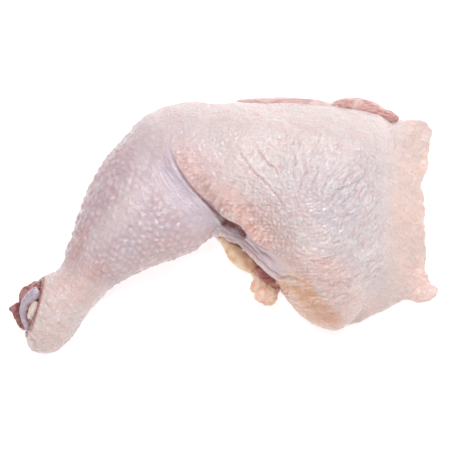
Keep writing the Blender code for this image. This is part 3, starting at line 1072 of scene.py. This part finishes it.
    def build(self, guests: list[bpy.types.Object]) -> bpy.types.Object:
        """Builds the leg with its skin's relief and tones.

        Args:
            guests: the pieces that sit in it.

        Returns:
            The leg.
        """
        leg = self.mass()
        socketed(leg, guests, self.socket_gap)
        remeshed(leg, self.fine_voxel)
        softened(leg, 4)
        thin_hidden(leg, self.kept_share)
        sculpt = Sculpt(leg)
        self.survey(sculpt)
        self.carve(sculpt)
        self.paint(sculpt)
        return leg

    def survey(self, sculpt: Sculpt) -> None:
        """Finds where each kind of skin lies.

        Args:
            sculpt: the leg.
        """
        x, y = sculpt.x, sculpt.y
        self.free = ease(0.6, 3.0, sculpt.z) * ease(-0.5, 0.1, sculpt.up)
        drum_side, _, _ = Stroke(self.drumstick_edge).measure(x, y)
        self.drum = ease(-1.0, 2.0, drum_side) * self.free
        self.thigh = (1 - ease(-2.5, 0.5, drum_side)) * self.free
        self.along, self.round = self.around_drumstick(sculpt)
        self.crease_side, self.crease_along, row = Stroke(self.crease).measure(x, y)
        self.crease_depth = row[:, 2]
        self.strap_side, _, row = Stroke(self.strap).measure(x, y)
        self.strap_share = self.strap_side / row[:, 2]
        from_x, from_y = x - self.thigh_middle[0], y - self.thigh_middle[1]
        self.out = np.hypot(from_x, from_y)
        self.bearing = np.degrees(np.arctan2(from_y, from_x))

        by_hock = ease(30, 44, self.along)
        beside = self.drum * ease(4, 14, self.crease_along) * ease(0.1, 0.5, sculpt.up)
        self.stretched = beside * ease(19, 8, np.abs(self.crease_side)) * ease(52, 40, self.crease_along)
        self.rolled = beside * ease(9, 1, self.crease_side) * ease(56, 46, self.crease_along)
        self.goose = self.drum * (0.25 + 0.75 * by_hock) * (1 - 0.85 * self.stretched)
        across = (x + 48) * 0.70 + (y - 4) * 0.71
        streak = np.abs((x + 49) * 0.71 - (y - 4) * 0.70)
        self.goose *= 1 - 0.60 * ease(7, 2, streak) * ease(26, 12, np.abs(across))
        self.goose *= 1 - 0.6 * ease(22, 10, np.hypot(x + 30, y - 42))
        self.lip = ease(0.4, -1.6, self.crease_side) * ease(-13, -2, self.crease_side)
        self.lip *= ease(0.2, 1.2, self.crease_depth) * self.free
        upper = ease(2, 26, self.bearing) * ease(200, 165, np.abs(self.bearing))
        self.fan = self.thigh * ease(4, 11, self.out) * ease(44, 30, self.out) * upper
        lower = ease(-118, -88, self.bearing) * ease(48, 18, self.bearing)
        self.arcs = self.thigh * ease(9, 18, self.out) * ease(58, 46, self.out) * lower * ease(82, 74, x)
        self.pebbled = self.thigh * (0.30 + 0.70 * ease(30, 16, np.hypot(x - 24, y - 4)))
        self.pebbled *= 1 - 0.8 * np.maximum(self.fan * ease(8, 16, self.out), self.arcs)
        self.strap_skin = ease(6.0, 4.2, np.abs(self.strap_side)) * ease(-6, 1, x) * ease(38, 24, x)
        self.strap_skin *= ease(-0.5, 1.5, self.crease_side) * self.free
        self.loose = ease(72, 90, x)
        for grain in (self.pebbled, self.arcs):
            grain *= 1 - self.strap_skin

    def carve(self, sculpt: Sculpt) -> None:
        """Works the skin's relief into the surface.

        Args:
            sculpt: the leg.
        """
        points, flat = sculpt.at.copy(), sculpt.at[:, :2].copy()
        warp = 1.5 * Grain.soft(flat, 9.0, 3) + 0.7 * Grain.soft(flat, 4.0, 15)
        stray = np.stack([warp, 1.5 * Grain.soft(flat, 7.0, 17), np.zeros(len(warp))], axis=1)
        patchy = 0.5 + 0.5 * Grain.soft(flat, 13.0, 18)
        turn = np.radians(self.bearing)
        fine = np.zeros(len(points))

        # Goosebumps in staggered rows round the drumstick.
        lattice = np.stack([self.along + 0.5 * warp, self.round + 0.5 * warp], axis=1)
        near, _, which = Grain.domes(lattice, self.wide.goosebumps, self.wide.goosebump_stray, 11)
        self.tip = hump(near, self.wide.goosebump_tip) * (0.35 + 0.65 * which)
        self.goose *= 0.80 + 0.40 * patchy
        fine += self.high.goosebump * self.goose * (self.tip - 0.28)
        # Long taut lines beside the crease.
        beside = np.stack([self.crease_side + 0.25 * warp, self.crease_along], axis=1)
        self.taut = self.ridged(beside, self.wide.taut_lines, 16) * self.stretched
        fine += self.high.taut_line * self.taut
        # Folds that fan out from the middle of the thigh above it and to its left, and that ring it
        # below and to its right, with small cells of skin all over.
        fan_at = np.stack([turn * 22.0 + warp, self.out + warp], axis=1)
        fine_folds = self.ridged(fan_at, self.wide.fine_fan, 32)
        folds = self.ridged(fan_at, self.wide.fan, 31) + self.wide.fine_share * fine_folds
        fine += self.high.fan_fold * self.fan * folds
        swirl = self.out + warp - 14.0 * np.maximum(0.0, turn + 0.4)
        arc_at = np.stack([swirl, turn * 30.0 + 2 * warp], axis=1)
        fine_folds = self.ridged(arc_at, self.wide.fine_arcs, 42)
        folds = self.ridged(arc_at, self.wide.arcs, 41) + self.wide.fine_share * fine_folds
        fine += self.high.arc_fold * self.arcs * folds
        fine += self.high.pebble * self.pebbled * self.cell(points + 0.6 * stray, self.wide.pebbles, 21)
        plain = self.thigh * (1 - self.strap_skin) * (1 - 0.6 * self.loose)
        fine += (0.18 + 0.18 * patchy) * plain * self.cell(points + 0.4 * stray, self.wide.plain_cells, 61)
        # The thigh's lip is crinkled across.
        crinkle_at = np.stack([self.crease_along, self.crease_side], axis=1)
        crinkle = Grain.soft(crinkle_at, self.wide.lip_crinkle, 9)
        fine += self.high.lip_crinkle * self.lip * crinkle
        for line in self.wrinkles:
            off, _, row = Stroke(line).measure(sculpt.x + 0.7 * stray[:, 0], sculpt.y + 0.6 * stray[:, 1])
            fine -= self.high.wrinkle * row[:, 2] * hump(off, 0.55) * self.free
            fine += self.high.wrinkle_edge * row[:, 2] * hump(np.abs(off) - 1.3, 0.8) * self.free
        self.furrows = np.zeros(len(points))
        for share, start, end in self.strap_furrows:
            off = (self.strap_share - share) * 3.6 + 0.25 * warp
            reach = ease(start, start + 4, sculpt.x), ease(end, end - 9, sculpt.x)
            self.furrows += hump(off, 0.42) * reach[0] * reach[1]
        self.furrows *= self.strap_skin
        fine -= self.high.furrow * self.furrows
        heel = self.drum * ease(44, 22, self.along)
        folds = Grain.soft(np.stack([self.along, self.round], axis=1), self.wide.heel_folds, 12)
        fine += heel * (0.28 * folds + 0.42 * self.cell(points, self.wide.heel_cells, 71))
        slant = np.stack([self.strap_side + warp, sculpt.x + sculpt.y], axis=1)
        fine += self.loose * (0.26 * self.cell(points + 0.8 * stray, self.wide.flap_cells, 81)
                              + 0.34 * self.ridged(slant, self.wide.flap_folds, 82))
        self.relief = fine * self.free

        broad = 0.42 * Grain.soft(points, 17.0, 1) + 0.24 * Grain.soft(points, 7.0, 2)
        depth = self.crease_depth
        roll = hump(self.crease_side + 1.8, 1.4) * np.minimum(depth, 2.0)
        groove = hump(self.crease_side - 0.2, 0.5) * (depth - 0.35 * np.minimum(depth, 1.6))
        pit = hump(self.crease_side - 1.5, 1.2) * ease(2.1, 2.45, depth)
        # The taut skin rises to meet the lip.
        web = self.high.web * self.rolled * hump(self.crease_side - 0.6, 5.0)
        raised = fine + broad + self.high.lip_roll * roll + web
        sculpt.push((raised - self.high.groove * groove - self.high.pit * pit) * self.free)
        # The loose flap ripples as a sheet, on both its faces alike, and its rim is uneven.
        ripple = 0.55 * Grain.soft(flat, 13.0, 13) + 0.30 * Grain.soft(flat, 5.0, 14) + 0.3
        ragged = 0.55 * Grain.soft(flat, 4.4, 19) + 0.30 * Grain.soft(flat, 2.0, 20)
        rim = ease(0.4, 0.9, np.hypot(sculpt.normal[:, 0], sculpt.normal[:, 1]))
        lift = (self.loose * ripple)[:, None] * (0, 0, 1)
        sculpt.move(lift + (self.loose * rim * ragged)[:, None] * (1, 0.6, 0))
        sculpt.keep_above(0.0)

    @staticmethod
    def ridged(points: np.ndarray, wavelength: tuple[float, ...], seed: int) -> np.ndarray:
        """Reads rounded folds with sharp furrows between, from -0.4 in a furrow to 0.5 on a fold."""
        return np.sqrt(np.abs(Grain.soft(points, wavelength, seed)) + 0.01) - 0.5

    @staticmethod
    def cell(points: np.ndarray, spacing: tuple[float, ...], seed: int) -> np.ndarray:
        """Reads a pattern of flat-topped cells with narrow furrows between.

        Args:
            points: rows of coordinates.
            spacing: the cells' size along each.
            seed: which pattern.

        Returns:
            Heights, from -0.6 in a furrow to 0.4 on a cell.
        """
        near, after, which = Grain.domes(points, spacing, 0.36, seed)
        width = 0.42 * min(spacing)
        return np.minimum(after - near, width) / width * (0.75 + 0.5 * which) - 0.6

    def paint(self, sculpt: Sculpt) -> None:
        """Keeps the skin's tones, with painted shade and painted highlights among them, and the run of its
        folds on the mesh.

        Args:
            sculpt: the leg.
        """
        x, y = sculpt.x, sculpt.y
        coat = Wash(len(x), SkinTone.PALE)
        uneven = 0.85 + 0.35 * Grain.soft(sculpt.at, 5.0, 91)
        for colour, (middle_x, middle_y), (reach_x, reach_y), turn, strength in TONE_WASHES:
            c, s = math.cos(math.radians(turn)), math.sin(math.radians(turn))
            across = ((x - middle_x) * c + (y - middle_y) * s) / reach_x
            up = ((y - middle_y) * c - (x - middle_x) * s) / reach_y
            coat.lay(colour, strength * uneven * ease(1.25, 0.45, np.hypot(across, up)))
        # Painted shade between the goosebumps, and a painted highlight on their tips.
        coat.lay(SkinTone.MAUVE, 0.40 * self.goose * (1 - self.tip))
        coat.lay(SkinTone.TIP, 0.30 * self.goose * self.tip**2)
        coat.lay(SkinTone.VIOLET, 0.40 * self.stretched)
        # Painted highlights along the ridges of the taut lines.
        coat.lay(SkinTone.WHITE, 1.3 * np.maximum(0, self.taut - 0.10))
        coat.lay(SkinTone.VIOLET, 0.5 * self.rolled)
        coat.lay(SkinTone.SALMON, 0.24 * self.lip)
        coat.lay(SkinTone.BLUSH, 0.45 * self.lip)
        # Painted shade in the thigh's furrows, salmon near the lip and mauve further off, and painted
        # highlights on its folds and cells.
        thigh_relief = self.relief * (1 - self.drum) * (1 - self.loose)
        warm = ease(34, 12, np.hypot(x - 14, y - 2))
        coat.lay(SkinTone.SALMON, (0.4 + 0.9 * warm) * np.maximum(0, -0.03 - thigh_relief))
        coat.lay(SkinTone.MAUVE, 0.8 * (1 - warm) * np.maximum(0, -0.08 - thigh_relief))
        coat.lay(SkinTone.WHITE, 1.2 * np.maximum(0, thigh_relief - 0.04))
        # Painted shade on the steep flanks, darker the less they face up.
        coat.lay(SkinTone.MAUVE, 0.55 * ease(0.50, 0.05, sculpt.up) * (1 - self.loose))
        # Painted shade in the strap's furrows.
        coat.lay(SkinTone.MAUVE, 0.75 * self.furrows)
        # Painted shade: a dark wine line along the strap's lower edge, over the bend.
        strap_edge_shade = ease(0.80, 1.05, self.strap_share) * ease(2.0, 1.5, self.strap_share)
        coat.lay(SkinTone.WINE, 0.6 * strap_edge_shade * ease(-3, 0, x) * ease(18, 12, x) * (1 - self.drum))
        # Painted shade: a thin dark line along the crease under the lip.
        groove = hump(self.crease_side - 0.2, 0.42) * ease(0.1, 1.4, self.crease_depth)
        coat.lay(SkinTone.WINE, 0.85 * groove * self.free)
        # Painted shade in the pit at the end of the crease.
        hole = hump(self.crease_side - 1.5, 1.5) * ease(2.05, 2.4, self.crease_depth)
        coat.lay(SkinTone.HOLLOW_SHADE, 1.3 * hole)
        from_cut = (np.array(self.hock_cut_point) - sculpt.at) @ np.array(self.hock_cut_facing)
        coat.lay(SkinTone.SALMON, 0.7 * ease(1.5, 0.6, np.abs(from_cut)) * ease(-80, -84, x))
        coat.lay(SkinTone.WINE, 0.9 * ease(0.8, 0.3, np.abs(from_cut)) * ease(-80, -84, x))
        sculpt.store("tone", coat.tone)

        flow = np.stack([self.out, np.radians(self.bearing) * 32.0, np.zeros(len(x))], axis=1)
        fanned, drum = self.fan > self.arcs, self.drum > 0.5
        flow[fanned, 0], flow[fanned, 1] = np.radians(self.bearing[fanned]) * 22.0, self.out[fanned]
        flow[drum, 0], flow[drum, 1] = self.crease_side[drum], self.crease_along[drum]
        streaks = self.drum * ease(13, 5, np.hypot(x + 48, y - 2)) * (1 - self.stretched)
        flow[streaks > 0, 0], flow[streaks > 0, 1] = self.round[streaks > 0], self.along[streaks > 0]
        sculpt.store("flow", flow)
        heel = 0.45 * self.drum * ease(40, 22, self.along)
        folds = [self.stretched, 0.7 * streaks, 0.75 * self.fan, 0.85 * self.arcs, heel, 0.4 * self.loose]
        sculpt.store("folds", np.maximum.reduce(folds))


class SkinTone(Enum):
    """The tones that show in and under the skin, with painted shade and painted highlights among them."""

    PALE = "#E0D1D0"
    BLUSH = "#E9C0B7"
    SALMON = "#D69A8F"
    LILAC = "#D8C7D0"
    VIOLET = "#D6C7D8"
    # Also the painted shade between bumps, in furrows and on steep flanks.
    MAUVE = "#B08D97"
    # Painted highlight for the goosebumps' tips.
    TIP = "#EBDCDE"
    CREAM = "#ECCFC5"
    BEIGE = "#E3AE88"
    GREY_LILAC = "#D0C5CD"
    # Also the painted shade along the crease and under the strap, besides the cut rim's own red.
    WINE = "#8A4845"
    # Painted shade for the pit at the crease's end.
    HOLLOW_SHADE = "#742C2E"
    # Painted highlight, laid on ridges and folds.
    WHITE = "#F6EFED"


# Washes of tone over the skin: tone, middle, reach, turn in degrees, strength.
TONE_WASHES = (
    (SkinTone.LILAC, (-38.0, 12.0), (46.0, 34.0), 47.0, 0.85),
    (SkinTone.MAUVE, (-55.0, 22.0), (36.0, 8.0), 58.0, 0.42),
    (SkinTone.BLUSH, (-30.0, -14.0), (30.0, 7.0), 26.0, 0.35),
    (SkinTone.PALE, (-50.0, 4.0), (12.0, 9.0), 45.0, 0.5),
    (SkinTone.GREY_LILAC, (42.0, 14.0), (28.0, 20.0), -20.0, 0.75),
    (SkinTone.GREY_LILAC, (64.0, 8.0), (17.0, 36.0), 0.0, 0.60),
    (SkinTone.BLUSH, (14.0, 3.0), (26.0, 8.0), -42.0, 0.5),
    (SkinTone.BLUSH, (-6.0, 24.0), (26.0, 9.0), -48.0, 0.3),
    (SkinTone.BLUSH, (42.0, -22.0), (24.0, 11.0), -14.0, 0.65),
    (SkinTone.BLUSH, (-70.0, -27.0), (20.0, 13.0), 40.0, 0.45),
    (SkinTone.SALMON, (-69.0, -8.0), (12.0, 3.6), 66.0, 0.6),
    (SkinTone.SALMON, (-60.0, -22.5), (6.0, 3.0), 20.0, 0.35),
    (SkinTone.BLUSH, (58.0, -40.0), (17.0, 12.0), 10.0, 0.7),
    (SkinTone.BEIGE, (36.0, -35.5), (16.0, 10.0), -48.0, 1.5),
    (SkinTone.BEIGE, (46.0, -46.0), (17.0, 9.0), -34.0, 1.3),
    (SkinTone.SALMON, (52.0, -46.0), (11.0, 5.5), -30.0, 0.4),
    (SkinTone.CREAM, (97.0, 0.0), (20.0, 62.0), 0.0, 0.95),
    (SkinTone.CREAM, (70.0, -40.0), (16.0, 7.0), 20.0, 0.5),
    (SkinTone.CREAM, (-84.0, -54.0), (12.0, 9.0), 30.0, 0.6),
    (SkinTone.LILAC, (17.0, -14.0), (20.0, 4.0), -40.0, 0.85),
)


class Wash:
    """Skin tones that are laid over one another, one for each vertex."""

    def __init__(self, count: int, ground: SkinTone) -> None:
        """Starts with one tone all over."""
        self.tone = np.tile(np.array(linear(ground.value)), (count, 1))

    def lay(self, colour: SkinTone, share: np.ndarray) -> None:
        """Lays a tone over the rest, each vertex taking its own share."""
        self.tone += np.clip(share, 0, 1)[:, None] * (np.array(linear(colour.value)) - self.tone)


# ---------------------------------------------------------------- bare meat and fat


@dataclass
class ThighMuscle:
    """The bare muscle under the thigh, which runs past the skin along the cut top edge."""

    middle: tuple[float, float] = (36.0, 12.0)
    outline: Stations = (
        (0, 37.0), (25, 41.0), (45, 46.0), (60, 50.0), (72, 50.4), (90, 50.0), (105, 51.8), (115, 54.8),
        (123, 57.0), (131, 50.0), (145, 42.0), (170, 36.0), (195, 32.0), (220, 28.0), (245, 32.0),
        (265, 42.0), (285, 47.0), (305, 44.0), (330, 38.0),
    )
    heights: Place = (-3.0, 6.0, 18.0)
    fullness: float = 2.8
    lobe: Stations = (
        (50.5, 55.0, 2.6, 3.0, 9.5), (56.0, 56.6, 4.4, 4.4, 10.0), (62.0, 57.2, 4.6, 5.0, 10.4),
        (68.6, 56.4, 4.4, 4.8, 10.4), (76.0, 53.6, 3.8, 4.0, 10.0), (84.6, 51.4, 1.6, 1.8, 8.6),
    )

    def build(self) -> list[Outfit]:
        """Builds the muscle and the lobe at the hip.

        Returns:
            The muscle and the lobe, each with its finish, its slot and the solid it stands for.
        """
        soft = SoftMass()
        soft.add_cushion(self.middle, self.outline, self.heights, self.fullness)
        muscle = soft.joined("thigh_muscle", 0.9, 6)
        sliced(muscle, (0, 0, 0), (0, 0, -1))
        sculpt = Sculpt(muscle)
        strands = Grain.soft(sculpt.at, (26.0, 2.6, 2.6), 31)
        strands = strands + 0.5 * Grain.soft(sculpt.at, (14.0, 5.0, 5.0), 32)
        sculpt.push(0.34 * (strands - 0.6) * ease(0.3, 1.5, sculpt.z))
        sculpt.keep_above(0.0)

        lobe = lofted("hip_muscle", self.lobe, 0.5, 5)
        strands = Grain.soft(lobe.at, (18.0, 2.4, 2.4), 33) + 0.6 * Grain.soft(lobe.at, 6.0, 34)
        lobe.push(0.35 * strands)
        bare = FibrousMeat("bare_thigh_muscle", "#C69694", "#DDB8B4", "#E9D6D3")
        filmy = FibrousMeat("hip_muscle_under_film", "#BC807C", "#DDB3AD", "#EEDBD5")
        return [(muscle, bare, Slot.MEAT, "thigh_meat"), (lobe.item, filmy, Slot.MEAT, "hip_lobe")]


@dataclass
class InnerBend:
    """The fat and the dark meat that show in the inner bend, below the strap."""

    flap: Stations = (
        (-0.8, -5.2, 2.0, 2.2, 13.6), (3.2, -10.6, 3.3, 3.0, 12.4), (6.2, -14.4, 4.0, 3.4, 11.6),
        (9.8, -17.4, 4.1, 3.2, 10.8), (13.4, -20.0, 3.6, 2.6, 10.2), (16.4, -22.2, 2.2, 2.0, 9.8),
    )
    nodule: Stations = (
        (16.8, -23.6, 10.4, 3.4), (18.6, -27.4, 9.6, 4.0), (16.2, -29.6, 8.8, 3.6), (18.8, -33.6, 8.0, 4.2),
        (21.8, -34.6, 7.6, 4.4), (23.2, -31.4, 8.6, 4.0),
    )
    strand: Stations = (
        (24.8, -24.6, 0.5, 0.5, 17.6), (25.4, -26.4, 0.6, 0.6, 17.6), (26.2, -28.6, 0.5, 0.5, 16.0),
        (26.0, -31.0, 0.6, 0.6, 11.0),
    )
    meat: Stations = (
        (15.6, -20.2, 2.6, 3.0, 14.0), (20.6, -23.2, 3.7, 4.0, 14.0), (25.6, -26.4, 3.4, 3.8, 13.6),
        (29.6, -29.4, 2.4, 3.0, 13.0),
    )

    def build(self) -> list[Outfit]:
        """Builds the pieces.

        Returns:
            The fat flap, the fat nodule and the meat, each as ThighMuscle.build gives its own.
        """
        flap = lofted("bend_fat_flap", self.flap, 0.4, 5)
        flap.push(0.28 * Grain.soft(flap.at, 4.5, 41) + 0.10 * Grain.soft(flap.at, 1.8, 42))

        soft = SoftMass()
        for x, y, z, radius in self.nodule:
            soft.add_ball((x, y, z), (radius, radius, radius * 0.9))
        soft.add_loft(self.strand)
        nodule = soft.joined("bend_fat_nodule", 0.35, 3)
        sculpt = Sculpt(nodule)
        near, after, _ = Grain.domes(sculpt.at, (4.2, 4.2, 4.2), 0.36, 43)
        sculpt.push(0.6 * (np.minimum(after - near, 1.6) / 1.6 - 0.6) + 0.16 * Grain.soft(sculpt.at, 1.9, 44))

        meat = lofted("bend_dark_meat", self.meat, 0.4, 4)
        meat.push(0.3 * Grain.soft(meat.at, (6.0, 2.0, 2.0), 45))
        dark = FibrousMeat("dark_bend_meat", "#8A3B3C", "#B56A62", "#D59A8C")
        return [
            (flap.item, SoftFat("yellow_bend_fat", "#F2CBA2", "#DFA37C"), Slot.FAT, "fat_flap"),
            (nodule, SoftFat("lumpy_bend_fat", "#F6C8B6", "#E89B88"), Slot.FAT, "fat_nodule"),
            (meat.item, dark, Slot.MEAT, "bend_meat"),
        ]


@dataclass
class CutHock:
    """The cut end of the drumstick: torn tissue with a cartilage ridge and a tendon on it."""

    tissue: Stations = (
        (-88.2, -35.2, 15.4, 8.6), (-89.2, -41.4, 14.6, 8.4), (-89.4, -47.0, 12.8, 6.4),
        (-92.4, -34.8, 14.0, 6.3), (-93.4, -40.6, 13.0, 5.8), (-93.6, -45.2, 12.4, 4.4),
    )
    shred: Stations = (
        (-95.0, -40.4, 5.6, 2.8, 15.0), (-98.0, -40.2, 4.2, 2.2, 14.4), (-100.6, -39.8, 2.6, 1.5, 13.6),
        (-103.6, -39.7, 0.8, 0.8, 13.0),
    )
    lower_shred: Stations = (
        (-99.8, -40.4, 2.2, 1.2, 14.4), (-98.6, -43.4, 2.6, 1.6, 14.6), (-97.0, -46.6, 2.4, 1.6, 14.4),
        (-94.8, -50.2, 1.5, 1.2, 14.0),
    )
    swell: float = 0.2
    ridge: Stations = (
        (-88.4, -31.0, 2.4, 1.8, 22.8), (-90.4, -32.6, 3.0, 2.3, 22.8), (-92.9, -34.8, 2.7, 2.4, 21.8),
        (-95.2, -37.6, 2.2, 2.2, 20.2), (-96.1, -41.0, 2.1, 2.1, 18.8), (-95.2, -45.0, 2.2, 2.0, 17.4),
        (-93.0, -49.4, 2.2, 1.8, 16.0), (-92.4, -51.4, 1.8, 1.6, 15.2),
    )
    tendon: Stations = (
        (-89.2, -36.6, 1.6, 1.5, 23.2), (-90.4, -39.2, 2.4, 2.0, 23.0), (-91.8, -42.0, 2.2, 2.0, 22.2),
        (-93.0, -45.0, 1.3, 1.4, 20.8),
    )

    def build(self) -> list[Outfit]:
        """Builds the pieces.

        Returns:
            The tissue, the ridge and the tendon, each as ThighMuscle.build gives its own.
        """
        soft = SoftMass()
        for x, y, z, radius in self.tissue:
            soft.add_ball((x, y, z), (radius + self.swell, radius + self.swell, radius * 0.9))
        soft.add_loft(self.shred)
        soft.add_loft(self.lower_shred)
        tissue = soft.joined("hock_torn_tissue", 0.4, 4)
        sculpt = Sculpt(tissue)
        torn = 0.5 * Grain.soft(sculpt.at, (7.0, 2.6, 2.6), 51) + 0.25 * Grain.soft(sculpt.at, 1.6, 52)
        sculpt.push(torn - 0.15)

        ridge = lofted("hock_cartilage_ridge", self.ridge, 0.3, 5)
        ridge.push(0.26 * Grain.soft(ridge.at, 4.0, 53) + 0.10 * Grain.soft(ridge.at, 1.5, 55))

        tendon = lofted("hock_white_tendon", self.tendon, 0.3, 4)
        tendon.push(0.34 * Grain.soft(tendon.at, (1.8, 5.0, 1.8), 54))
        red = FibrousMeat("torn_hock_tissue", "#7A3233", "#A96460", "#C99A94")
        grey = WetConnective("hock_cartilage", "#B3A2B0", "#DACBD2")
        white = WetConnective("hock_tendon", "#EADDD6", "#E3C2B8", 0.3)
        return [
            (tissue, red, Slot.HOCK_TISSUE, "hock_tissue"),
            (ridge.item, grey, Slot.CARTILAGE, "hock_ridge"),
            (tendon.item, white, Slot.TENDON, "hock_tendon"),
        ]


# ---------------------------------------------------------------- studio


# The lights: name, place and size in metres, and power in watts.
STUDIO_LIGHTS = (
    ("key", (0.54, 0.58, 0.90), 0.34, 4.3),
    ("top", (-0.05, 0.10, 1.30), 0.70, 0.7),
    ("fill", (-0.55, -0.80, 0.80), 0.80, 3.1),
    ("spark_right", (0.36, 0.46, 1.10), 0.11, 3.6),
    ("spark_left", (-0.20, 0.30, 1.25), 0.11, 2.7),
)


@dataclass
class Studio:
    """A pale floor, soft light from above and the camera that looks straight down."""

    floor_size: float = 6.0
    camera_height: float = 1.82
    aim: tuple[float, float] = (0.0065, -0.0055)
    view_width: float = 0.2275
    view_level: float = 0.020
    sensor: float = 36.0

    def build(self) -> None:
        """Builds the floor, the lights, the world and the camera."""
        scene = bpy.context.scene
        cage = bmesh.new()
        bmesh.ops.create_grid(cage, x_segments=1, y_segments=1, size=self.floor_size / 2)
        bmesh.ops.translate(cage, vec=(0, 0, -0.0004), verts=cage.verts)
        mesh = bpy.data.meshes.new("floor")
        cage.to_mesh(mesh)
        cage.free()
        floor = bpy.data.objects.new("floor", mesh)
        scene.collection.objects.link(floor)
        # Lit white acrylic: an even, matt surface that glows a little, so that shadows stay faint.
        mesh.materials.append(NodeBoard("lit_white_acrylic", {
            "Base Color": linear("#FAF9F9"), "Roughness": 0.6, "Specular IOR Level": 0.2,
            "Emission Color": linear("#FFFFFF"), "Emission Strength": 0.50,
        }).material)

        for light in STUDIO_LIGHTS:
            self.add_light(*light)

        world = bpy.data.worlds.new("studio")
        world.use_nodes = True
        back = world.node_tree.nodes["Background"]
        back.inputs["Color"].default_value = (1.0, 1.0, 1.0, 1.0)
        back.inputs["Strength"].default_value = 0.32
        scene.world = world

        lens = bpy.data.cameras.new("camera")
        lens.sensor_width = self.sensor
        lens.lens = self.sensor * (self.camera_height - self.view_level) / self.view_width
        lens.clip_end = 20.0
        camera = bpy.data.objects.new("camera", lens)
        camera.location = (*self.aim, self.camera_height)
        scene.collection.objects.link(camera)
        scene.camera = camera
        scene.view_settings.view_transform = "Standard"
        log.info("studio: camera %.2f m up, lens %.0f mm", self.camera_height, lens.lens)

    def add_light(self, name: str, place: Place, size: float, watts: float) -> None:
        """Adds a square soft light that faces the leg.

        Args:
            name: what it is called.
            place: where it is, in metres.
            size: how wide it is, in metres.
            watts: its power.
        """
        lamp = bpy.data.lights.new(name, "AREA")
        lamp.size = size
        lamp.energy = watts
        light = bpy.data.objects.new(name, lamp)
        light.location = place
        light.rotation_euler = (-Vector(place)).to_track_quat("-Z", "Y").to_euler()
        bpy.context.scene.collection.objects.link(light)


def main() -> None:
    """Builds the pieces in order, and the studio round them."""
    logging.basicConfig(level=logging.INFO, format="%(name)s %(message)s")
    guests = [*ThighMuscle().build(), *InnerBend().build(), *CutHock().build()]
    leg = SkinnedLeg().build([piece for piece, *_ in guests])
    dress(leg, MoistSkin(), Slot.SKIN, "leg")
    for outfit in guests:
        dress(*outfit)
    Studio().build()


if __name__ == "__main__":
    main()
